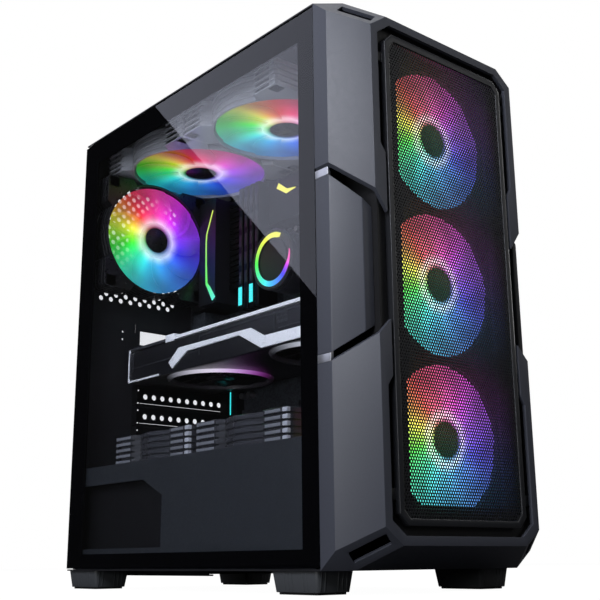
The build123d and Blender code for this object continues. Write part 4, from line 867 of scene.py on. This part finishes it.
def graphics_card():
    bevelled_copy("gpu_trim", "bright_trim", width=0.5 * MM, segments=2)
    bevelled_copy("gpu_shroud", "card_plastic", width=0.5 * MM, segments=2)
    low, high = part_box("gpu_shroud")
    for fan in ("gpu_fan_1", "gpu_fan_2"):
        fan_low, fan_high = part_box(fan)
        centre = (fan_low + fan_high) / 2
        centre.z = low.z
        vertices, faces, shades = [], [], []
        steps = 96
        profile = ((47.2 * MM, 1.0 * MM), (47.4 * MM, -2.0 * MM), (48.4 * MM, -2.8 * MM), (50.0 * MM, -2.8 * MM),
                   (51.6 * MM, -1.8 * MM), (52.6 * MM, 0.05 * MM))
        for k in range(steps):
            degrees = 360 * k / steps
            outward = Vector((math.cos(math.radians(degrees)), math.sin(math.radians(degrees)), 0))
            view = (math.degrees(math.atan2(outward.dot(TOWARDS_VIEW), outward.dot(VIEW_RIGHT)))) % 360
            # Each ring is bright on the side towards TOWARDS_VIEW and dim away from it: a painted highlight crescent
            # over the ring's glow colours.
            near = max(0.0, math.sin(math.radians(view))) ** 1.6
            tint = 0.06 if fan == "gpu_fan_1" else 0.06 + 0.60 * max(0.0, math.cos(math.radians(view - 15))) ** 2
            shade = hsv(between_stops(UNDERSIDE_HUES[fan], view) % 1.0, tint, 0.05 + 0.88 * near)
            for radius, level in profile:
                vertices.append(centre + outward * radius + Vector((0, 0, level)))
                shades.append(shade)
        count = len(profile)
        for k in range(steps):
            a, b = k * count, (k + 1) % steps * count
            faces += [(a + n, a + n + 1, b + n + 1, b + n) for n in range(count - 1)]
        made = piece(fan + "_ring", vertices, faces, "light_line", "chassis", smooth_angle=35)
        paint(made, shades)

    side = low.x
    work = bmesh.new()
    for start, end, level, tall in ((-98, 60, 224.2, 1.0), (-98, -54, 211.0, 0.8), (60, 178, 211.0, 0.8)):
        add_block(work, (side - 0.5 * MM, start * MM, level * MM), (side + 0.1 * MM, end * MM, (level + tall) * MM))
    for seam_y in (-49.7, 60.0, 176.0):
        add_block(work, (side - 0.5 * MM, seam_y * MM, 207 * MM), (side + 0.1 * MM, (seam_y + 1.2) * MM, 226 * MM))
    add_block(work, (side - 0.8 * MM, 181.0 * MM, 202 * MM), (side + 0.1 * MM, 182.6 * MM, 227 * MM))
    bevel_all(work, 0.2 * MM)
    bmesh_piece("card_seams", work, "grey_plastic", "chassis", smooth_angle=35)

    work = bmesh.new()
    for column in range(3):
        for row in range(3):
            spot_y, spot_z = -66.0 + column * 5.0, 215.5 + row * 3.4
            add_block(work, (side - 0.35 * MM, spot_y * MM, spot_z * MM),
                      (side + 0.1 * MM, (spot_y + 3.9) * MM, (spot_z + 2.5) * MM))
    bevel_all(work, 0.15 * MM)
    bmesh_piece("card_grille", work, "grey_plastic", "chassis", smooth_angle=35)

    work = bmesh.new()
    add_block(work, (side - 1.2 * MM, 182.0 * MM, 198 * MM), (side + 0.6 * MM, 184.0 * MM, 231 * MM))
    add_block(work, (side - 1.2 * MM, 128 * MM, 197.3 * MM), (side + 0.2 * MM, 184.0 * MM, 199.0 * MM))
    bevel_all(work, 0.3 * MM)
    bmesh_piece("card_edge", work, "bright_trim", "chassis", smooth_angle=35)
    work = bmesh.new()
    add_block(work, (side, 117.4 * MM, 229.4 * MM), (side + 40 * MM, 183.0 * MM, 232.2 * MM))
    bevel_all(work, 0.5 * MM)
    bmesh_piece("card_backplate", work, "grey_plastic", "chassis", smooth_angle=35)


# ---- motherboard --------------------------------------------------------------------------------

def can(work, centre, axis, radius, height):
    """A capacitor can: a short cylinder standing on the board."""
    turn = Vector((0, 0, 1)).rotation_difference(Vector(axis)).to_matrix().to_4x4()
    place = Matrix.Translation(Vector(centre) + Vector(axis) * height / 2) @ turn
    bmesh.ops.create_cone(work, cap_ends=True, segments=20, radius1=radius, radius2=radius * 0.96, depth=height,
                          matrix=place)


def board_details():
    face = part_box("motherboard")[1].x
    face = 67.0 * MM
    metal, dark = bmesh.new(), bmesh.new()
    for k in range(7):
        can(metal, (face, (-4 + 11 * k) * MM, 350.5 * MM), (-1, 0, 0), 3.0 * MM, 8 * MM)
    for k in range(6):
        can(metal, (face, 84 * MM - (k % 2) * 4 * MM, (310 + 8 * k) * MM - 42 * MM), (-1, 0, 0), 2.6 * MM, 7 * MM)
    for y, z in ((0, 262), (12, 262), (24, 262), (120, 262), (132, 262), (20, 205), (32, 205), (-30, 240), (-30, 180),
                 (130, 190), (142, 190), (142, 240)):
        can(metal, (face, y * MM, z * MM), (-1, 0, 0), 3.2 * MM, 7.5 * MM)
    for k in range(6):
        add_block(dark, (face - 6 * MM, (-2 + 12.5 * k) * MM, 340 * MM), (face, (7 + 12.5 * k) * MM, 348 * MM))
    for y, z, w, h in ((-20, 195, 22, 22), (60, 245, 14, 14), (120, 215, 9, 9), (-45, 250, 10, 10), (150, 150, 8, 8)):
        add_block(dark, (face - 1.4 * MM, y * MM, z * MM), (face, (y + w) * MM, (z + h) * MM))
    bevel_all(dark, 0.4 * MM)
    bmesh_piece("board_cans", metal, "drive", "chassis", smooth_angle=35)
    bmesh_piece("board_blocks", dark, "socket", "chassis", smooth_angle=35)


def memory():
    """Memory heat spreaders: bevelled, with raised ribs."""
    bevelled_copy("ram_modules", "anodised", width=0.6 * MM, segments=2)
    low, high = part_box("ram_modules")
    work = bmesh.new()
    for memory_y in (-42.0, -33.0, -24.0, -15.0, 83.0, 92.0, 101.0, 110.0):
        for k in range(5):
            z = 300 + 20 * k
            add_block(work, (low.x - 0.4 * MM, (memory_y - 2.2) * MM, z * MM),
                      (low.x + 0.2 * MM, (memory_y + 2.2) * MM, (z + 13) * MM))
    bevel_all(work, 0.3 * MM)
    bmesh_piece("memory_ribs", work, "steel", "chassis", smooth_angle=35)


# ---- bezel --------------------------------------------------------------------------------------

def bezel():
    for node in ("bezel_upper_bracket", "bezel_lower_bracket", "bezel_mid_left", "bezel_mid_right"):
        bevelled_copy(node, "bezel", width=0.7 * MM, segments=3)
    bevelled_copy("mesh_frame", "mesh_frame", width=0.6 * MM, segments=2)
    bevelled_copy("accent_strips", "silver", width=0.25 * MM, segments=2)


# ---- feet ---------------------------------------------------------------------------------------

FOOT_FLARE = 2 * MM
FOOT_RIBS = (-13.0, -9.0, 3.0, 7.0, 11.0)


def feet():
    """Tapered feet with slim upright ribs on their outward faces."""
    bevelled_copy("feet", "foot", width=0.4 * MM)
    low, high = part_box("feet")
    half = Vector((15.5, 23.0)) * MM
    work = bmesh.new()
    for side_x in (-1, 1):
        for side_y in (-1, 1):
            centre = Vector((side_x * (high.x - half.x - FOOT_FLARE),
                             (low.y if side_y < 0 else high.y) - side_y * (half.y + FOOT_FLARE)))
            for offset in FOOT_RIBS:
                for axis, side, reach in ((0, side_x, half.x), (1, -1, half.y), (1, 1, half.y)):
                    spot = [0.0, 0.0]
                    spot[axis] = centre[axis] + side * (reach - 0.3 * MM)
                    spot[1 - axis] = centre[1 - axis] + offset * MM
                    block = add_block(work, (spot[0] - 0.7 * MM, spot[1] - 0.7 * MM, low.z + 1 * MM),
                                      (spot[0] + 0.7 * MM, spot[1] + 0.7 * MM, high.z - 0.5 * MM))
                    for vertex in block:
                        if vertex.co.z > (low.z + high.z) / 2:
                            vertex.co[axis] += side * FOOT_FLARE * 0.9
    bevel_all(work, 0.3 * MM)
    bmesh_piece("foot_ribs", work, "foot", "chassis", smooth_angle=35)


# ---- stage, lights and camera -------------------------------------------------------------------

CAMERA_PLACE = Vector((-0.56338, -0.67955, 0.02263))
CAMERA_YAW = 40.57
CAMERA_PITCH = 14.75
CAMERA_ROLL = -0.55
CAMERA_LENS = 59.53
SENSOR = 36.0


def camera():
    data = bpy.data.cameras.new("view")
    data.lens = CAMERA_LENS
    data.sensor_width = SENSOR
    data.clip_start = 0.01
    made = bpy.data.objects.new("view", data)
    bpy.context.scene.collection.objects.link(made)
    yaw, pitch, roll = (math.radians(a) for a in (CAMERA_YAW, CAMERA_PITCH, CAMERA_ROLL))
    forward = Vector((math.sin(yaw) * math.cos(pitch), math.cos(yaw) * math.cos(pitch), math.sin(pitch)))
    level = Vector((math.cos(yaw), -math.sin(yaw), 0.0))
    upright = level.cross(forward)
    right = level * math.cos(roll) + upright * math.sin(roll)
    up = upright * math.cos(roll) - level * math.sin(roll)
    made.matrix_world = Matrix((
        (right.x, up.x, -forward.x, CAMERA_PLACE.x),
        (right.y, up.y, -forward.y, CAMERA_PLACE.y),
        (right.z, up.z, -forward.z, CAMERA_PLACE.z),
        (0, 0, 0, 1)))
    bpy.context.scene.camera = made


def softbox(name, centre, across, along, size, radiance):
    """A rectangular light whose sides run along two directions, shining away from their cross product."""
    across = Vector(across).normalized()
    along = (Vector(along) - across * Vector(along).dot(across)).normalized()
    back = across.cross(along)
    data = bpy.data.lights.new(name, "AREA")
    data.shape = "RECTANGLE"
    data.size, data.size_y = size
    data.energy = radiance * math.pi * size[0] * size[1]
    made = bpy.data.objects.new(name, data)
    bpy.context.scene.collection.objects.link(made)
    made.matrix_world = Matrix((
        (across.x, along.x, back.x, centre[0]),
        (across.y, along.y, back.y, centre[1]),
        (across.z, along.z, back.z, centre[2]),
        (0, 0, 0, 1)))
    return made


def facing_box(name, centre, target, size, radiance, colour=(1.0, 1.0, 1.0)):
    """A softbox at a place, turned to face a target, with its long side level."""
    back = (Vector(centre) - Vector(target)).normalized()
    across = Vector((0, 0, 1)).cross(back).normalized()
    made = softbox(name, centre, across, back.cross(across), size, radiance)
    made.data.color = colour
    made.visible_camera = False
    made.visible_transmission = False
    return made


def lights():
    middle = (cad_low + cad_high) / 2
    facing_box("key", middle + Vector((-1.05, -0.55, 0.62)), middle + Vector((-0.10, -0.15, 0.16)), (0.6, 0.6), 10.2,
               (0.95, 0.98, 1.08))
    facing_box("overhead", middle + Vector((0.1, -0.2, 2.2)), middle, (1.6, 1.6), 1.6)
    facing_box("low_side", (-1.15, -0.42, 0.16), (-0.04, 0.05, 0.42), (0.35, 0.25), 9.0)
    facing_box("back_fill", middle + Vector((0.5, 2.0, 0.7)), middle, (1.4, 1.4), 7.0)
    facing_box("right_fill", middle + Vector((2.0, 0.3, 0.9)), middle, (1.4, 1.4), 5.0)
    facing_box("front_fill", middle + Vector((1.2, -1.8, 0.9)), middle, (0.9, 1.2), 0.8)
    glass_light = softbox("glass_panel_light", (-1.280, 0.929, 1.168), (-0.703, -0.150, -0.695), (-0.4525, -0.661, 0.600),
            (1.55, 0.90), 1.0)
    glass_light.data.color = (0.88, 0.92, 1.12)


WORLD_DIFFUSE = 0.10
WORLD_GLOSSY = 0.01


def world():
    """White behind everything, seen directly or straight through the glass, and dimmer as a light."""
    made = bpy.data.worlds.new("studio")
    made.use_nodes = True
    bpy.context.scene.world = made
    made.cycles.sampling_method = "NONE"
    tree = made.node_tree
    background = tree.nodes["Background"]
    background.inputs["Color"].default_value = (1, 1, 1, 1)
    path = tree.nodes.new("ShaderNodeLightPath")
    shares = []
    for depth, dimmed in (("Diffuse Depth", WORLD_DIFFUSE), ("Glossy Depth", WORLD_GLOSSY)):
        share = tree.nodes.new("ShaderNodeMapRange")
        share.inputs["From Max"].default_value = 1.0
        share.inputs["To Min"].default_value = 1.0
        share.inputs["To Max"].default_value = dimmed
        tree.links.new(path.outputs[depth], share.inputs["Value"])
        shares.append(share.outputs["Result"])
    strength = tree.nodes.new("ShaderNodeMath")
    strength.operation = "MULTIPLY"
    for number, share in enumerate(shares):
        tree.links.new(share, strength.inputs[number])
    tree.links.new(strength.outputs[0], background.inputs["Strength"])


FLOOR_GLOW = 0.985


def floor():
    half = 4.0
    mesh = bpy.data.meshes.new("floor")
    mesh.from_pydata([(-half, -half, 0), (half, -half, 0), (half, half, 0), (-half, half, 0)], [], [(0, 1, 2, 3)])
    made = bpy.data.objects.new("floor", mesh)
    bpy.context.scene.collection.objects.link(made)
    look = Look("pale_floor", (0.045, 0.045, 0.047), 0.85)
    look.mottle(look.noise(0.4, 2.0), 0.01)
    look.set(Specular_IOR_Level=0.0)
    glow = look.node("ShaderNodeEmission")
    glow.inputs["Color"].default_value = (1, 1, 1, 1)
    seen = look.node("ShaderNodeMath", operation="MULTIPLY")
    seen.inputs[1].default_value = FLOOR_GLOW
    look.link(look.node("ShaderNodeLightPath").outputs["Is Camera Ray"], seen.inputs[0])
    look.link(seen.outputs[0], glow.inputs["Strength"])
    both = look.node("ShaderNodeAddShader")
    look.link(look.shader.outputs["BSDF"], both.inputs[0])
    look.link(glow.outputs["Emission"], both.inputs[1])
    look.link(both.outputs["Shader"], look.tree.nodes["Material Output"].inputs["Surface"])
    mesh.materials.append(look.material)


# ---- the whole scene ----------------------------------------------------------------------------

scene = bpy.context.scene
scene.view_settings.view_transform = "Standard"
camera()
world()
lights()
floor()
finish_cad_nodes()
bonded_print()
bezel()
feet()
front_mesh()
make_rotors()
make_fan_frames()
cooler()
lit_lines()
graphics_card()
board_details()
memory()
top_mesh()
